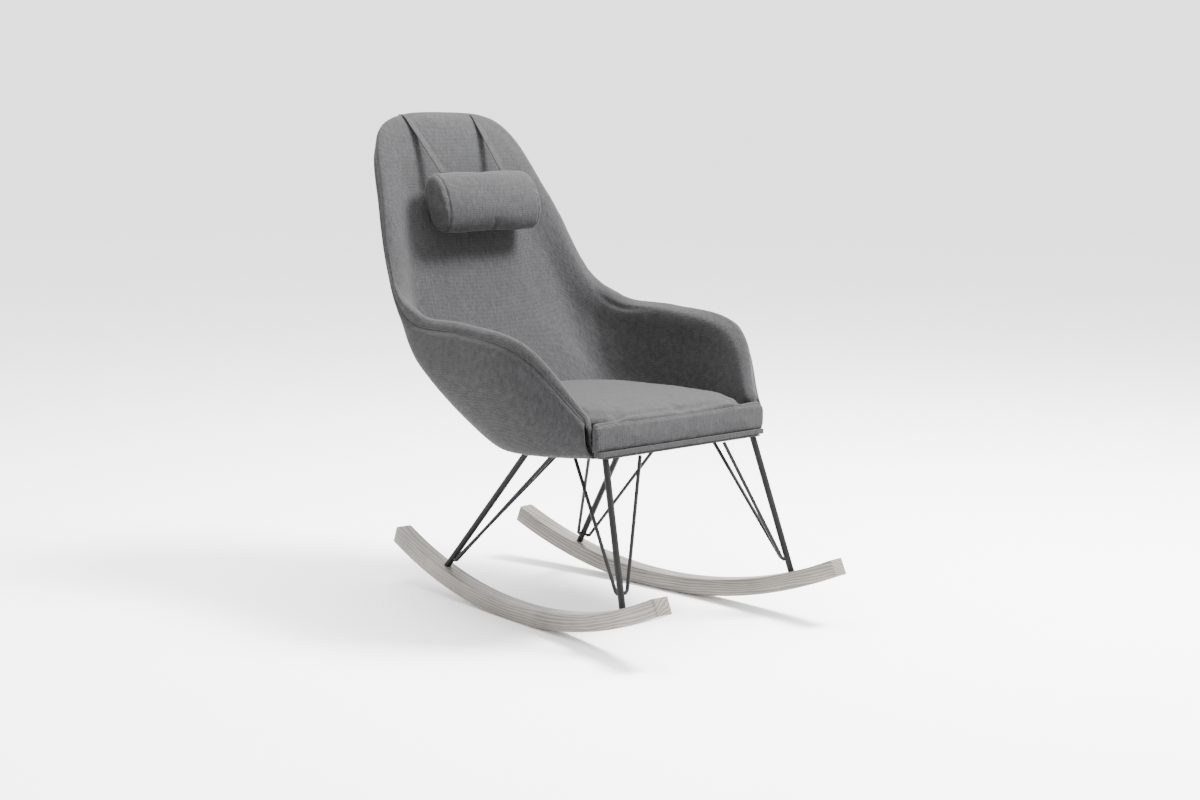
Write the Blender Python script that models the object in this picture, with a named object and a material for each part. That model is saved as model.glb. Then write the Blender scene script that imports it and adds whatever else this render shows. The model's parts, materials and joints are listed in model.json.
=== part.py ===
"""Rocking chair: a padded bucket shell on braced steel legs and two curved wooden rockers.

Metres, +Z up. The chair faces -Y and is symmetric about X = 0. The origin lies on the floor,
below the middle of the whole chair. Names with left and right are those of a sitter, so the
left-hand pieces are at +X. The headrest cushion slides along the backrest and its two straps run
over the top edge to a counterweight bag that slides the other way.
"""

import math

import bmesh
import bpy
from mathutils import Matrix, Vector
from mathutils.geometry import intersect_point_line

# ---------------------------------------------------------------- driving dimensions
GAP = 0.0003                      # between pieces that touch
SKIN = 0.003                      # cover fabric with its wadding
SIDES = (("left", 1), ("right", -1))

# rockers
ROCKER_RADIUS = 1.21              # of the sole's arc, seen from the side
ROCKER_THICK = 0.0365
ROCKER_WIDE = 0.041
ROCKER_STEP = 0.0408              # length of one facet of the arc
ROCKER_FRONT_FACETS = 13          # stations in front of the lowest point
ROCKER_REAR_FACETS = 12           # stations behind it
ROCKER_FLAT_FACETS = 3            # facets that are joined into the flat one on the floor
ROCKER_LOW_Y = -0.0274            # where the sole touches the floor
ROCKER_LOW_X = 0.2176
ROCKER_TOE = 0.076                # radians, rockers closer together at the rear
ROCKER_EDGE = 0.003               # chamfer along the edges

# legs
REAR_FOOT = 0.2700                # distance of the foot along the rocker from the lowest point
FRONT_FOOT = -0.3700
BAR_RADIUS = 0.007
ROD_RADIUS = 0.004
ROD_WELD_HEIGHT = 0.032           # of the rods' lower ends above the foot, along the bar
ROD_STANDOFF = 0.016              # from the bar's axis to the rod's bend
ROD_END_DROP = 0.0030             # slanting rod ends stop this far under the rail
BOSS_DEEP = 0.012
SCREW_RADIUS = 0.003
SCREW_HEAD_RADIUS = 0.007
SCREW_HEAD_THICK = 0.004
COUNTERBORE_DEEP = 0.008

# underside of the seat: a plane that falls towards the rear
UNDERSIDE_FRONT_Y = -0.31
UNDERSIDE_FRONT_Z = 0.388
UNDERSIDE_SLOPE = 0.09
SEAT_CENTRE = Vector((0.0, -0.08))

# steel frame under the seat
RAIL_THICK = 0.003
RAIL_HALF_WIDE = 0.013
RAIL_FRONT = Vector((0.2125, -0.3080))
RAIL_REAR = Vector((0.1427, 0.0174))
PANEL_THICK = 0.002
BOARD_THICK = 0.012
BOARD_INSET = 0.024
BOARD_FRONT_Y = -0.284
BOLT_SPOTS = ((0.197, -0.235), (0.1555, -0.045))
BOLT_RADIUS = 0.003
BOLT_HOLE_RADIUS = 0.0034
BOLT_HEAD_RADIUS = 0.0055
BOLT_HEAD_THICK = 0.003

# seat cushion
CUSHION_INSET = 0.007
CUSHION_TOP = 0.462               # height of the cushion's edge
CUSHION_CROWN = 0.009             # the middle stands this much higher
CUSHION_FRONT_Y = -0.2990
CUSHION_FRONT_HALF = 0.222
BAND_BACK_Y = -0.2993             # padded band along the front of the seat
BAND_FRONT_Y = -0.3215
BAND_TOP = 0.460
BAND_HALF = 0.245

# headrest, straps and counterweight
BACK_LOW = Vector((0.0, 0.360, 0.740))     # two points of the backrest's middle line
BACK_HIGH = Vector((0.0, 0.446, 0.950))
HEADREST_AT = 0.848               # height of the cushion's middle
HEADREST_HALF_LONG = 0.143
HEADREST_HALF_TALL = 0.077
HEADREST_DEEP = 0.094
HEADREST_CLEAR = 0.012            # flat back of the cushion to the backrest's middle line
STRAP_TOP_X = 0.098
STRAP_LOW_X = 0.087
STRAP_HALF_WIDE = 0.008
STRAP_THICK = 0.0025
STRAP_LIFT = 0.0085               # strap's middle above the bare shell
PILLOW_SIDES = 16
PILLOW_FLAT = -0.80               # the oval is cut off flat here, as a share of its half depth
COUNTERWEIGHT_AT = 0.835
COUNTERWEIGHT_HALF_LONG = 0.120
COUNTERWEIGHT_HALF_TALL = 0.048
COUNTERWEIGHT_DEEP = 0.020
COUNTERWEIGHT_CLEAR = 0.008

# The shell's key rows, from the middle of the back round to the front end of the left arm.
# Outer rows run from the rim's ridge down to the underside.
RIDGE = ((0, .524, 1.066), (.166, .504, 1.040), (.236, .408, .882), (.285, .306, .692),
         (.298, .205, .639), (.301, .030, .632), (.302, -.168, .602), (.242, -.279, .470))
SEAM = ((0, .537, 1.054), (.171, .510, 1.028), (.242, .414, .874), (.292, .296, .680),
        (.310, .205, .626), (.316, .030, .618), (.314, -.168, .588), (.248, -.285, .460))
BULGE = ((0, .492, .930), (.145, .468, .905), (.220, .387, .765), (.287, .258, .612),
         (.318, .190, .566), (.3285, .030, .555), (.324, -.140, .528), (.252, -.289, .434))
LOW = ((0, .394, .680), (.120, .378, .660), (.198, .329, .585), (.254, .184, .497),
       (.288, .105, .465), (.306, .000, .456), (.303, -.140, .448), (.249, -.291, .412))
TURN = ((0, .212, .395), (.080, .206, .391), (.133, .150, .382), (.178, .094, .376),
        (.222, .036, .375), (.258, -.045, .379), (.264, -.160, .385), (.241, -.292, .396))
BOTTOM = ((0, .130, .348), (.070, .128, .349), (.125, .112, .350), (.164, .076, .353),
          (.198, .012, .359), (.224, -.080, .367), (.236, -.180, .376), (.230, -.293, .388))
# Inner rows run from the rim down to the seat.
LIP = ((0, .501, 1.054), (.144, .483, 1.020), (.217, .397, .868), (.266, .290, .677),
       (.278, .203, .628), (.280, .030, .623), (.281, -.162, .586), (.230, -.273, .461))
INNER_UPPER = ((0, .446, .950), (.115, .436, .930), (.176, .382, .790), (.232, .290, .610),
               (.262, .185, .565), (.272, .020, .557), (.274, -.135, .535), (.231, -.269, .448))
INNER_MIDDLE = ((0, .360, .740), (.100, .353, .720), (.152, .318, .640), (.210, .243, .530),
                (.249, .150, .506), (.264, .000, .500), (.266, -.135, .490), (.231, -.266, .436))
INNER_LOWER = ((0, .272, .565), (.090, .266, .555), (.145, .240, .520), (.198, .185, .470),
               (.236, .110, .455), (.255, -.020, .450), (.258, -.140, .446), (.231, -.264, .424))
SEAT_EDGE = ((0, .192, .430), (.080, .188, .430), (.130, .172, .428), (.177, .136, .424),
             (.212, .070, .419), (.238, -.040, .414), (.247, -.150, .412), (.230, -.262, .410))
COLUMN_STEPS = 3                  # facets between two key columns
ROW_STEPS = 2                     # facets between two key rows
CORE_WALL = 0.17                  # a foam wall's share of the core's depth in mid back
CORE_ARM_WALL = 0.74              # the inner wall's share in the arms, which are all but solid
CORE_HOLLOW_COLUMNS = 8           # columns from mid back to where the inner wall is as thick
CORE_SOLID_ROWS = 4               # rows below the rim that are solid foam

FABRIC_GREY = (0.105, 0.105, 0.108)
COVER_GREY = (0.070, 0.070, 0.072)
FOAM_GREY = (0.300, 0.290, 0.270)
STEEL_BLACK = (0.012, 0.012, 0.012)
ZINC_GREY = (0.420, 0.420, 0.430)
ASH_GREY = (0.400, 0.385, 0.360)
PLY_BROWN = (0.420, 0.300, 0.190)
DUST_BLACK = (0.015, 0.015, 0.016)


# ---------------------------------------------------------------- general helpers
def clear_scene():
    """Remove every object of the open scene."""
    for obj in list(bpy.data.objects):
        bpy.data.objects.remove(obj, do_unlink=True)


def finish_of(name, colour, roughness, metallic=0.0):
    """Make a plain Principled material."""
    mat = bpy.data.materials.new(name)
    mat.use_nodes = True
    shader = mat.node_tree.nodes["Principled BSDF"]
    shader.inputs["Base Color"].default_value = (*colour, 1.0)
    shader.inputs["Roughness"].default_value = roughness
    shader.inputs["Metallic"].default_value = metallic
    return mat


def add_mesh(name, bm, mat, smooth=None):
    """Turn a bmesh into an object at the world origin, shaded smooth below the given angle."""
    bmesh.ops.recalc_face_normals(bm, faces=bm.faces)
    mesh = bpy.data.meshes.new(name)
    bm.to_mesh(mesh)
    bm.free()
    mesh.materials.append(mat)
    if smooth is not None:
        mesh.shade_smooth()
        mesh.set_sharp_from_angle(angle=math.radians(smooth))
    obj = bpy.data.objects.new(name, mesh)
    bpy.context.scene.collection.objects.link(obj)
    return obj


def move_origin(obj, point):
    """Put the object's origin at a point and leave its surface where it is."""
    obj.data.transform(Matrix.Translation(-point))
    obj.location = point


def loft(loops):
    """Skin closed loops of equal point counts and close both ends with a face."""
    bm = bmesh.new()
    rings = [[bm.verts.new(point) for point in loop] for loop in loops]
    count = len(rings[0])
    for ring, following in zip(rings, rings[1:]):
        for i in range(count):
            j = (i + 1) % count
            bm.faces.new((ring[i], ring[j], following[j], following[i]))
    bm.faces.new(rings[0])
    bm.faces.new(rings[-1])
    return bm


def grid(rows):
    """Skin open rows of equal point counts."""
    bm = bmesh.new()
    lines = [[bm.verts.new(point) for point in row] for row in rows]
    for line, following in zip(lines, lines[1:]):
        for i in range(len(line) - 1):
            bm.faces.new((line[i], line[i + 1], following[i + 1], following[i]))
    return bm


def split_quads(bm):
    """Split the quads between columns into triangles, in mirror image either side of the back.

    Tagged faces run the other way round, so they are split along the other diagonal.
    """
    for method, wants in (("FIXED", True), ("ALTERNATE", False)):
        quads = [face for face in bm.faces if len(face.verts) == 4
                 and ((face.calc_center_median().x > 0) != face.tag) == wants]
        bmesh.ops.triangulate(bm, faces=quads, quad_method=method)


def turned(profile, axis_point, axis, segments=20):
    """Turn a profile of (radius, height) pairs about an axis; its two ends are closed flat."""
    turn = axis.normalized().to_track_quat("Z", "Y").to_matrix()
    loops = []
    for radius, height in profile:
        loop = []
        for k in range(segments):
            angle = 2 * math.pi * k / segments
            local = Vector((radius * math.cos(angle), radius * math.sin(angle), height))
            loop.append(axis_point + turn @ local)
        loops.append(loop)
    return loft(loops)


def through(points, steps):
    """Sample a centripetal Catmull-Rom curve through the points, with its ends reflected."""
    points = [Vector(p) for p in points]
    line = [2 * points[0] - points[1], *points, 2 * points[-1] - points[-2]]
    samples = [points[0]]
    for a, b, c, d in zip(line, line[1:], line[2:], line[3:]):
        ta = 0.0
        tb = ta + math.sqrt((b - a).length)
        tc = tb + math.sqrt((c - b).length)
        td = tc + math.sqrt((d - c).length)
        for k in range(1, steps + 1):
            t = tb + (tc - tb) * k / steps
            ab = a.lerp(b, (t - ta) / (tb - ta))
            bc = b.lerp(c, (t - tb) / (tc - tb))
            cd = c.lerp(d, (t - tc) / (td - tc))
            abc = ab.lerp(bc, (t - ta) / (tc - ta))
            bcd = bc.lerp(cd, (t - tb) / (td - tb))
            samples.append(abc.lerp(bcd, (t - tb) / (tc - tb)))
    return samples


def cut(target, cutter):
    """Cut one object with another, which stays in the file as a guide."""
    cutter.hide_render = True
    cutter.display_type = "WIRE"
    boolean = target.modifiers.new("holes", "BOOLEAN")
    boolean.operation = "DIFFERENCE"
    boolean.solver = "EXACT"
    boolean.object = cutter


# ---------------------------------------------------------------- rockers and feet
def rocker_place(side, along, across, height):
    """A point of a rocker: distance along its length and width, and height above the floor."""
    direction = Vector((-side * math.sin(ROCKER_TOE), math.cos(ROCKER_TOE)))
    sideways = Vector((math.cos(ROCKER_TOE), side * math.sin(ROCKER_TOE)))
    plan = Vector((side * ROCKER_LOW_X, ROCKER_LOW_Y)) + direction * along + sideways * across
    return Vector((plan.x, plan.y, height))


def rocker_stations():
    """Angles of the arc's stations, so that one long facet lies flat on the floor."""
    first = -ROCKER_FRONT_FACETS + 0.5
    count = ROCKER_FRONT_FACETS + ROCKER_REAR_FACETS
    places = [first + k for k in range(count)]
    return [place * ROCKER_STEP / ROCKER_RADIUS for place in places
            if abs(place) >= ROCKER_FLAT_FACETS / 2]


def rocker_drop():
    """Height of the arc's centre above the floor."""
    return ROCKER_RADIUS * math.cos(0.5 * ROCKER_FLAT_FACETS * ROCKER_STEP / ROCKER_RADIUS)


def rocker_section(side, angle, half_wide):
    """One chamfered cross-section of a rocker."""
    drop = rocker_drop()
    edge = ROCKER_EDGE
    corners = ((-half_wide + edge, 0), (half_wide - edge, 0), (half_wide, edge),
               (half_wide, ROCKER_THICK - edge), (half_wide - edge, ROCKER_THICK),
               (-half_wide + edge, ROCKER_THICK), (-half_wide, ROCKER_THICK - edge),
               (-half_wide, edge))
    loop = []
    for across, up in corners:
        radius = ROCKER_RADIUS - up
        loop.append(rocker_place(side, radius * math.sin(angle), across,
                                 drop - radius * math.cos(angle)))
    return loop


def foot_frame(side, along):
    """Centre of a foot on the rocker's top facet, and that facet's upward normal."""
    angles = rocker_stations()
    radius = ROCKER_RADIUS - ROCKER_THICK
    drop = rocker_drop()
    ends = [(radius * math.sin(a), drop - radius * math.cos(a)) for a in angles]
    for (near, near_z), (far, far_z) in zip(ends, ends[1:]):
        if near <= along <= far:
            share = (along - near) / (far - near)
            height = near_z + share * (far_z - near_z)
            ahead = rocker_place(side, far, 0, far_z) - rocker_place(side, near, 0, near_z)
            sideways = rocker_place(side, near, 1, near_z) - rocker_place(side, near, 0, near_z)
            normal = ahead.cross(sideways).normalized()
            if normal.z < 0:
                normal.negate()
            return rocker_place(side, along, 0, height), normal
    raise ValueError("the foot lies beyond the rocker")


def build_rocker(label, side, wood):
    """A curved plank with rounded ends and a stepped hole for each foot."""
    half = ROCKER_WIDE / 2
    angles = rocker_stations()
    tip = 0.011 / ROCKER_RADIUS
    loops = [rocker_section(side, angles[0] - tip, half * 0.62)]
    loops += [rocker_section(side, angle, half) for angle in angles]
    loops += [rocker_section(side, angles[-1] + tip, half * 0.62)]
    rocker = add_mesh(f"rocker_{label}", loft(loops), wood, smooth=25)
    for end, along in (("rear", REAR_FOOT), ("front", FRONT_FOOT)):
        centre, normal = foot_frame(side, along)
        sole = -ROCKER_THICK
        profile = ((SCREW_HEAD_RADIUS + 0.001, sole - 0.01),
                   (SCREW_HEAD_RADIUS + 0.001, sole + COUNTERBORE_DEEP),
                   (SCREW_RADIUS + GAP, sole + COUNTERBORE_DEEP),
                   (SCREW_RADIUS + GAP, -BOSS_DEEP - GAP),
                   (BAR_RADIUS + GAP, -BOSS_DEEP - GAP),
                   (BAR_RADIUS + GAP, 0.01))
        cutter = add_mesh(f"cutter_{end}_{label}", turned(profile, centre, normal), wood)
        cut(rocker, cutter)


def build_foot(name, side, along, zinc):
    """The threaded boss let into the rocker's top and the screw that holds it from below."""
    centre, normal = foot_frame(side, along)
    bore = SCREW_RADIUS + GAP
    boss = ((bore, -0.003), (bore, -BOSS_DEEP), (BAR_RADIUS, -BOSS_DEEP), (BAR_RADIUS, -GAP))
    add_mesh(f"foot_boss_{name}", turned(boss, centre, normal), zinc, smooth=40)
    seat = -ROCKER_THICK + COUNTERBORE_DEEP - GAP
    screw = ((SCREW_HEAD_RADIUS * 0.8, seat - SCREW_HEAD_THICK),
             (SCREW_HEAD_RADIUS, seat - SCREW_HEAD_THICK * 0.6),
             (SCREW_HEAD_RADIUS, seat), (SCREW_RADIUS, seat), (SCREW_RADIUS, -0.005))
    add_mesh(f"foot_screw_{name}", turned(screw, centre, normal), zinc, smooth=40)


# ---------------------------------------------------------------- legs and rods
def underside(y, above=0.0):
    """Height of the seat's underside plane at a distance along the chair."""
    return UNDERSIDE_FRONT_Z - UNDERSIDE_SLOPE * (y - UNDERSIDE_FRONT_Y) + above


def rail_bottom(plan):
    """The point under a rail, a touch below its lower face."""
    return Vector((plan.x, plan.y, underside(plan.y, -RAIL_THICK - 2 * GAP)))


def oblique_bar(name, low, low_normal, high, high_normal, radius, mat, segments=18):
    """A straight round bar whose two ends are cut along the planes that they meet."""
    axis = (high - low).normalized()
    first = axis.orthogonal().normalized()
    second = axis.cross(first)
    loops = []
    for point, normal in ((low, low_normal), (high, high_normal)):
        loop = []
        for k in range(segments):
            angle = 2 * math.pi * k / segments
            offset = (first * math.cos(angle) + second * math.sin(angle)) * radius
            slide = -offset.dot(normal) / axis.dot(normal)
            loop.append(point + offset + axis * slide)
        loops.append(loop)
    return add_mesh(name, loft(loops), mat, smooth=40)


def brace_rod(name, low, axis, weld_height, high, mat):
    """A thin rod that leaves the bar square to it, bends up and runs to the frame."""
    weld = low + axis * weld_height
    outward = high - weld
    outward = (outward - axis * outward.dot(axis)).normalized()
    start = weld + outward * (BAR_RADIUS + GAP)
    bend = weld + outward * ROD_STANDOFF
    towards = (high - bend).normalized()
    route = [start, weld + outward * (ROD_STANDOFF - 0.004), bend + towards * 0.006, high]
    curve = bpy.data.curves.new(name, "CURVE")
    curve.dimensions = "3D"
    curve.bevel_depth = ROD_RADIUS
    curve.bevel_resolution = 2
    curve.use_fill_caps = True
    curve.materials.append(mat)
    spline = curve.splines.new("POLY")
    spline.points.add(len(route) - 1)
    for slot, point in zip(spline.points, route):
        slot.co = (*point, 1.0)
    obj = bpy.data.objects.new(name, curve)
    bpy.context.scene.collection.objects.link(obj)
    return obj


def build_leg(end, label, side, along, top_plan, rods, steel):
    """One main bar with its two brace rods."""
    foot, foot_normal = foot_frame(side, along)
    low = foot + foot_normal * GAP
    high = rail_bottom(top_plan)
    plane_normal = Vector((0, UNDERSIDE_SLOPE, 1)).normalized()
    name = f"{end}_{label}"
    oblique_bar(f"leg_bar_{name}", low, foot_normal, high, plane_normal, BAR_RADIUS, steel)
    axis = (high - low).normalized()
    for kind, plan in rods:
        tip = rail_bottom(Vector((side * plan[0], plan[1]))) - Vector((0, 0, ROD_END_DROP))
        brace_rod(f"brace_{kind}_{name}", low, axis, ROD_WELD_HEIGHT, tip, steel)


# ---------------------------------------------------------------- frame under the seat
def plate(name, outline, low, high, mat):
    """A flat plate with vertical sides, parallel to the underside plane."""
    loops = [[Vector((p.x, p.y, underside(p.y, z))) for p in outline] for z in (low, high)]
    return add_mesh(name, loft(loops), mat)


def strip_outline(start, end, half_wide):
    """Plan outline of a straight flat bar."""
    along = (end - start).normalized()
    across = Vector((-along.y, along.x)) * half_wide
    return [start - across, end - across, end + across, start + across]


def build_rails(steel):
    """Four flat bars: front, rear and two sides, which stop short of the cross bars."""
    low, high = -RAIL_THICK - GAP, -GAP
    rails = []
    for name, corner, reach in (("front_rail", RAIL_FRONT, 0.010), ("rear_rail", RAIL_REAR, 0.011)):
        half = corner.x + reach
        outline = strip_outline(Vector((-half, corner.y)), Vector((half, corner.y)), RAIL_HALF_WIDE)
        rails.append(plate(name, outline, low, high, steel))
    clear = RAIL_HALF_WIDE + 0.0035
    for label, side in SIDES:
        front = Vector((side * RAIL_FRONT.x, RAIL_FRONT.y))
        rear = Vector((side * RAIL_REAR.x, RAIL_REAR.y))
        along = (rear - front).normalized()
        outline = strip_outline(front + along * clear, rear - along * clear, RAIL_HALF_WIDE)
        rails.append(plate(f"side_rail_{label}", outline, low, high, steel))
    return rails


def inset_plan(point, distance):
    """Move a point towards the seat's centre, seen from above."""
    plan = Vector((point.x, point.y))
    return plan + (SEAT_CENTRE - plan).normalized() * distance


def seat_outline(row, distance, front_y):
    """The row's plan outline, drawn in by a distance and cut off straight at the front."""
    outline = [inset_plan(point, distance) for point in row]
    return [Vector((p.x, max(p.y, front_y))) for p in outline]


def build_seat_base(bottom_row, ply, dust, zinc, rails):
    """The plywood seat board, the dust panel under it and the four bolts of the frame."""
    outline = seat_outline(bottom_row, BOARD_INSET, BOARD_FRONT_Y)
    panel_low = GAP
    board_low = panel_low + PANEL_THICK + GAP
    panel = plate("dust_panel", outline, panel_low, panel_low + PANEL_THICK, dust)
    board = plate("seat_board", outline, board_low, board_low + BOARD_THICK, ply)
    holes = bmesh.new()
    for label, side in SIDES:
        for end, (x, y) in zip(("front", "rear"), BOLT_SPOTS):
            spot = Vector((side * x, y, underside(y)))
            top = board_low + BOARD_THICK - 0.003
            hole = turned(((BOLT_HOLE_RADIUS, -0.02), (BOLT_HOLE_RADIUS, top)), spot,
                          Vector((0, 0, 1)), segments=14)
            scratch = bpy.data.meshes.new("scratch")
            hole.to_mesh(scratch)
            hole.free()
            holes.from_mesh(scratch)
            bpy.data.meshes.remove(scratch)
            seat = -RAIL_THICK - 4 * GAP
            bolt = ((BOLT_HEAD_RADIUS * 0.85, seat - BOLT_HEAD_THICK),
                    (BOLT_HEAD_RADIUS, seat - BOLT_HEAD_THICK * 0.7),
                    (BOLT_HEAD_RADIUS, seat), (BOLT_RADIUS, seat), (BOLT_RADIUS, top - 0.001))
            add_mesh(f"frame_bolt_{end}_{label}", turned(bolt, spot, Vector((0, 0, 1)), 14),
                     zinc, smooth=40)
    cutter = add_mesh("cutter_bolt_holes", holes, zinc)
    for target in (panel, board, *rails):
        if not target.name.startswith(("front", "rear")):
            cut(target, cutter)
    return board_low + BOARD_THICK


# ---------------------------------------------------------------- bucket shell
def full_row(keys, steps=COLUMN_STEPS):
    """A key row from the right arm's end round the back to the left arm's end."""
    mirrored = [Vector((-p[0], p[1], p[2])) for p in reversed(keys[1:])]
    return through([*mirrored, *[Vector(p) for p in keys]], steps)


def columns_of(key_rows):
    """Smooth sections of the shell, one list of points for each column."""
    rows = [full_row(keys) for keys in key_rows]
    return [through(column, ROW_STEPS) for column in zip(*rows)]


def nearest_on(path, point):
    """The place on a chain of straight lines that is nearest to a point."""
    places = []
    for a, b in zip(path, path[1:]):
        place, share = intersect_point_line(point, a, b)
        places.append(a if share < 0 else b if share > 1 else place)
    return min(places, key=lambda place: (place - point).length)


def build_core(outer, inner, foam):
    """The moulded core between the covers: two foam walls that part in the deep back."""
    loops = []
    middle = (len(outer) - 1) / 2
    for number, (outside, inside) in enumerate(zip(outer, inner)):
        turn = min(1.0, abs(number - middle) / CORE_HOLLOW_COLUMNS)
        share = CORE_WALL + (CORE_ARM_WALL - CORE_WALL) * turn ** 3
        foot = inset_plan(outside[-1], 0.014)
        heel = Vector((foot.x, foot.y, underside(foot.y, 0.0015)))
        facing = inside[CORE_SOLID_ROWS:]
        pairs = [(nearest_on(outside, point), point) for point in facing]
        pairs.append((outside[-1], heel))
        near_in = [b.lerp(a, share) for a, b in pairs]
        near_out = [a.lerp(b, CORE_WALL) for a, b in pairs]
        loops.append([*reversed(outside), *inside[1:], heel, *reversed(near_in), *near_out])
    bm = loft(loops)
    bm.faces.index_update()
    shown = len(outer[0]) + len(inner[0])
    for face in bm.faces:
        face.tag = face.index % len(loops[0]) >= shown
    split_quads(bm)
    add_mesh("shell_core", bm, foam, smooth=60)


def build_cover(name, columns, mat):
    """A cover that lies over the core: its wadded fabric has a real thickness."""
    bm = grid(columns)
    split_quads(bm)
    bmesh.ops.recalc_face_normals(bm, faces=bm.faces)
    bm.normal_update()
    middle = Vector((0, 0, 0.55))
    votes = sum(1 if f.normal.dot(f.calc_center_median() - middle) > 0 else -1 for f in bm.faces)
    wants_out = name.startswith("outer")
    if (votes > 0) != wants_out:
        bmesh.ops.reverse_faces(bm, faces=bm.faces)
        bm.normal_update()
    for vert in bm.verts:
        vert.co += vert.normal * GAP * 2
    mesh = bpy.data.meshes.new(name)
    bm.to_mesh(mesh)
    bm.free()
    mesh.materials.append(mat)
    mesh.shade_smooth()
    obj = bpy.data.objects.new(name, mesh)
    bpy.context.scene.collection.objects.link(obj)
    thicken = obj.modifiers.new("thickness", "SOLIDIFY")
    thicken.thickness = SKIN
    thicken.offset = 1.0
    return obj


def build_seat_cushion(seat_row, bottom_row, base_top, fabric):
    """The seat cushion: a crowned pad between the arms with a straight front."""
    def closed(row, distance, height):
        sides = seat_outline(row, distance, CUSHION_FRONT_Y)
        loop = [Vector((p.x, p.y, height(p.y))) for p in sides]
        for share in (0.86, 0.5, 0.0, -0.5, -0.86):
            y = CUSHION_FRONT_Y + distance - CUSHION_INSET
            x = share * (CUSHION_FRONT_HALF + CUSHION_INSET - distance)
            loop.append(Vector((x, y, height(y))))
        return loop
    top = CUSHION_TOP
    loops = [closed(bottom_row, BOARD_INSET + 0.004, lambda y: underside(y, base_top + 2 * GAP)),
             closed(seat_row, CUSHION_INSET, lambda y: top - 0.035),
             closed(seat_row, CUSHION_INSET, lambda y: top - 0.010),
             closed(seat_row, CUSHION_INSET + 0.010, lambda y: top),
             closed(seat_row, 0.070, lambda y: top + 0.7 * CUSHION_CROWN),
             closed(seat_row, 0.140, lambda y: top + CUSHION_CROWN)]
    return add_mesh("seat_cushion", loft(loops), fabric, smooth=50)


def build_front_band(fabric):
    """The padded band along the front of the seat, from the cushion's edge to the underside."""
    back, front, top = BAND_BACK_Y, BAND_FRONT_Y, BAND_TOP
    low = underside(front)
    profile = ((back, low + 0.001), (front + 0.007, low), (front + 0.002, low + 0.005),
               (front, low + 0.018), (front, top - 0.022), (front + 0.002, top - 0.010),
               (front + 0.008, top - 0.002), (back, top))
    middle = Vector((0.5 * (back + front), 0.5 * (low + top)))
    loops = []
    for share, size in ((-1.0, 0.80), (-0.985, 0.96), (-0.94, 1.0), (0.94, 1.0), (0.985, 0.96),
                        (1.0, 0.80)):
        loop = []
        for y, z in profile:
            point = middle + (Vector((y, z)) - middle) * size
            loop.append(Vector((share * BAND_HALF, point.x, point.y)))
        loops.append(loop)
    return add_mesh("front_band", loft(loops), fabric, smooth=50)


# ---------------------------------------------------------------- headrest and counterweight
SLIDE = (BACK_HIGH - BACK_LOW).normalized()            # along the backrest, upwards
FORWARD = Vector((0, -SLIDE.z, SLIDE.y))               # square to it, towards the sitter


def back_point(height):
    """The point of the backrest's straight middle line at a height."""
    return BACK_LOW + SLIDE * ((height - BACK_LOW.z) / SLIDE.z)


def pillow(name, centre, outward, half_long, half_tall, deep, mat):
    """A bolster with an oval section, flatter at the back, and drawn-in ends."""
    loops = []
    for share, size in ((-1.0, 0.74), (-0.93, 0.95), (-0.5, 1.0), (0.5, 1.0), (0.93, 0.95),
                        (1.0, 0.74)):
        middle = centre + Vector((share * half_long, 0, 0)) + outward * (deep / 2)
        loop = []
        for k in range(PILLOW_SIDES):
            angle = 2 * math.pi * k / PILLOW_SIDES
            across = max(math.cos(angle), PILLOW_FLAT) * deep / 2
            loop.append(middle + (SLIDE * (half_tall * math.sin(angle)) + outward * across) * size)
        loops.append(loop)
    pad = add_mesh(name, loft(loops), mat, smooth=50)
    move_origin(pad, centre)
    return pad


def rear_point(column, height):
    """The point of an outer column at a height."""
    for upper, lower in zip(column, column[1:]):
        if lower.z <= height < upper.z:
            return lower.lerp(upper, (height - lower.z) / (upper.z - lower.z))
    raise ValueError("no point at that height")


def section_at(columns, count, x):
    """Cross the first points of the shell's columns with a plane of constant X."""
    points = []
    for k in range(count):
        for a, b in zip(columns, columns[1:]):
            if a[k].x <= x < b[k].x:
                share = (x - a[k].x) / (b[k].x - a[k].x)
                points.append(a[k].lerp(b[k], share).yz)
                break
    return points


def strap_route(outer, inner, headrest_top, bag_top):
    """Middle line of a strap in the Y-Z plane, from the bag over the top edge to the cushion."""
    rear = section_at(outer, 3 * ROW_STEPS, STRAP_TOP_X)
    front = section_at(inner, ROW_STEPS + 1, STRAP_TOP_X)
    line = [*reversed(rear), *front[1:]]
    lifted = []
    for before, here, after in zip(line, line[1:], line[2:]):
        along = (after - before).normalized()
        lifted.append(here + Vector((along.y, -along.x)) * STRAP_LIFT)
    resting = [p for p in lifted if p.y > bag_top.y + 0.02]
    return [bag_top, *resting, headrest_top]


def build_strap(label, side, route, fabric):
    """One flat strap as a thin solid; it leans a little inwards towards the cushion."""
    loops = []
    highest = max(p.y for p in route)
    lowest = route[-1].y
    crest = [p.y for p in route].index(highest)
    for i, point in enumerate(route):
        before = route[max(i - 1, 0)]
        after = route[min(i + 1, len(route) - 1)]
        along = (after - before).normalized()
        lift = Vector((0, -along.y, along.x)) * (STRAP_THICK / 2)
        x = STRAP_TOP_X
        if i > crest:
            share = (highest - point.y) / (highest - lowest)
            x = STRAP_TOP_X + (STRAP_LOW_X - STRAP_TOP_X) * share
        middle = Vector((side * x, point.x, point.y))
        wide = Vector((STRAP_HALF_WIDE, 0, 0))
        loops.append([middle - wide - lift, middle + wide - lift, middle + wide + lift,
                      middle - wide + lift])
    return add_mesh(f"strap_{label}", loft(loops), fabric, smooth=30)


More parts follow.
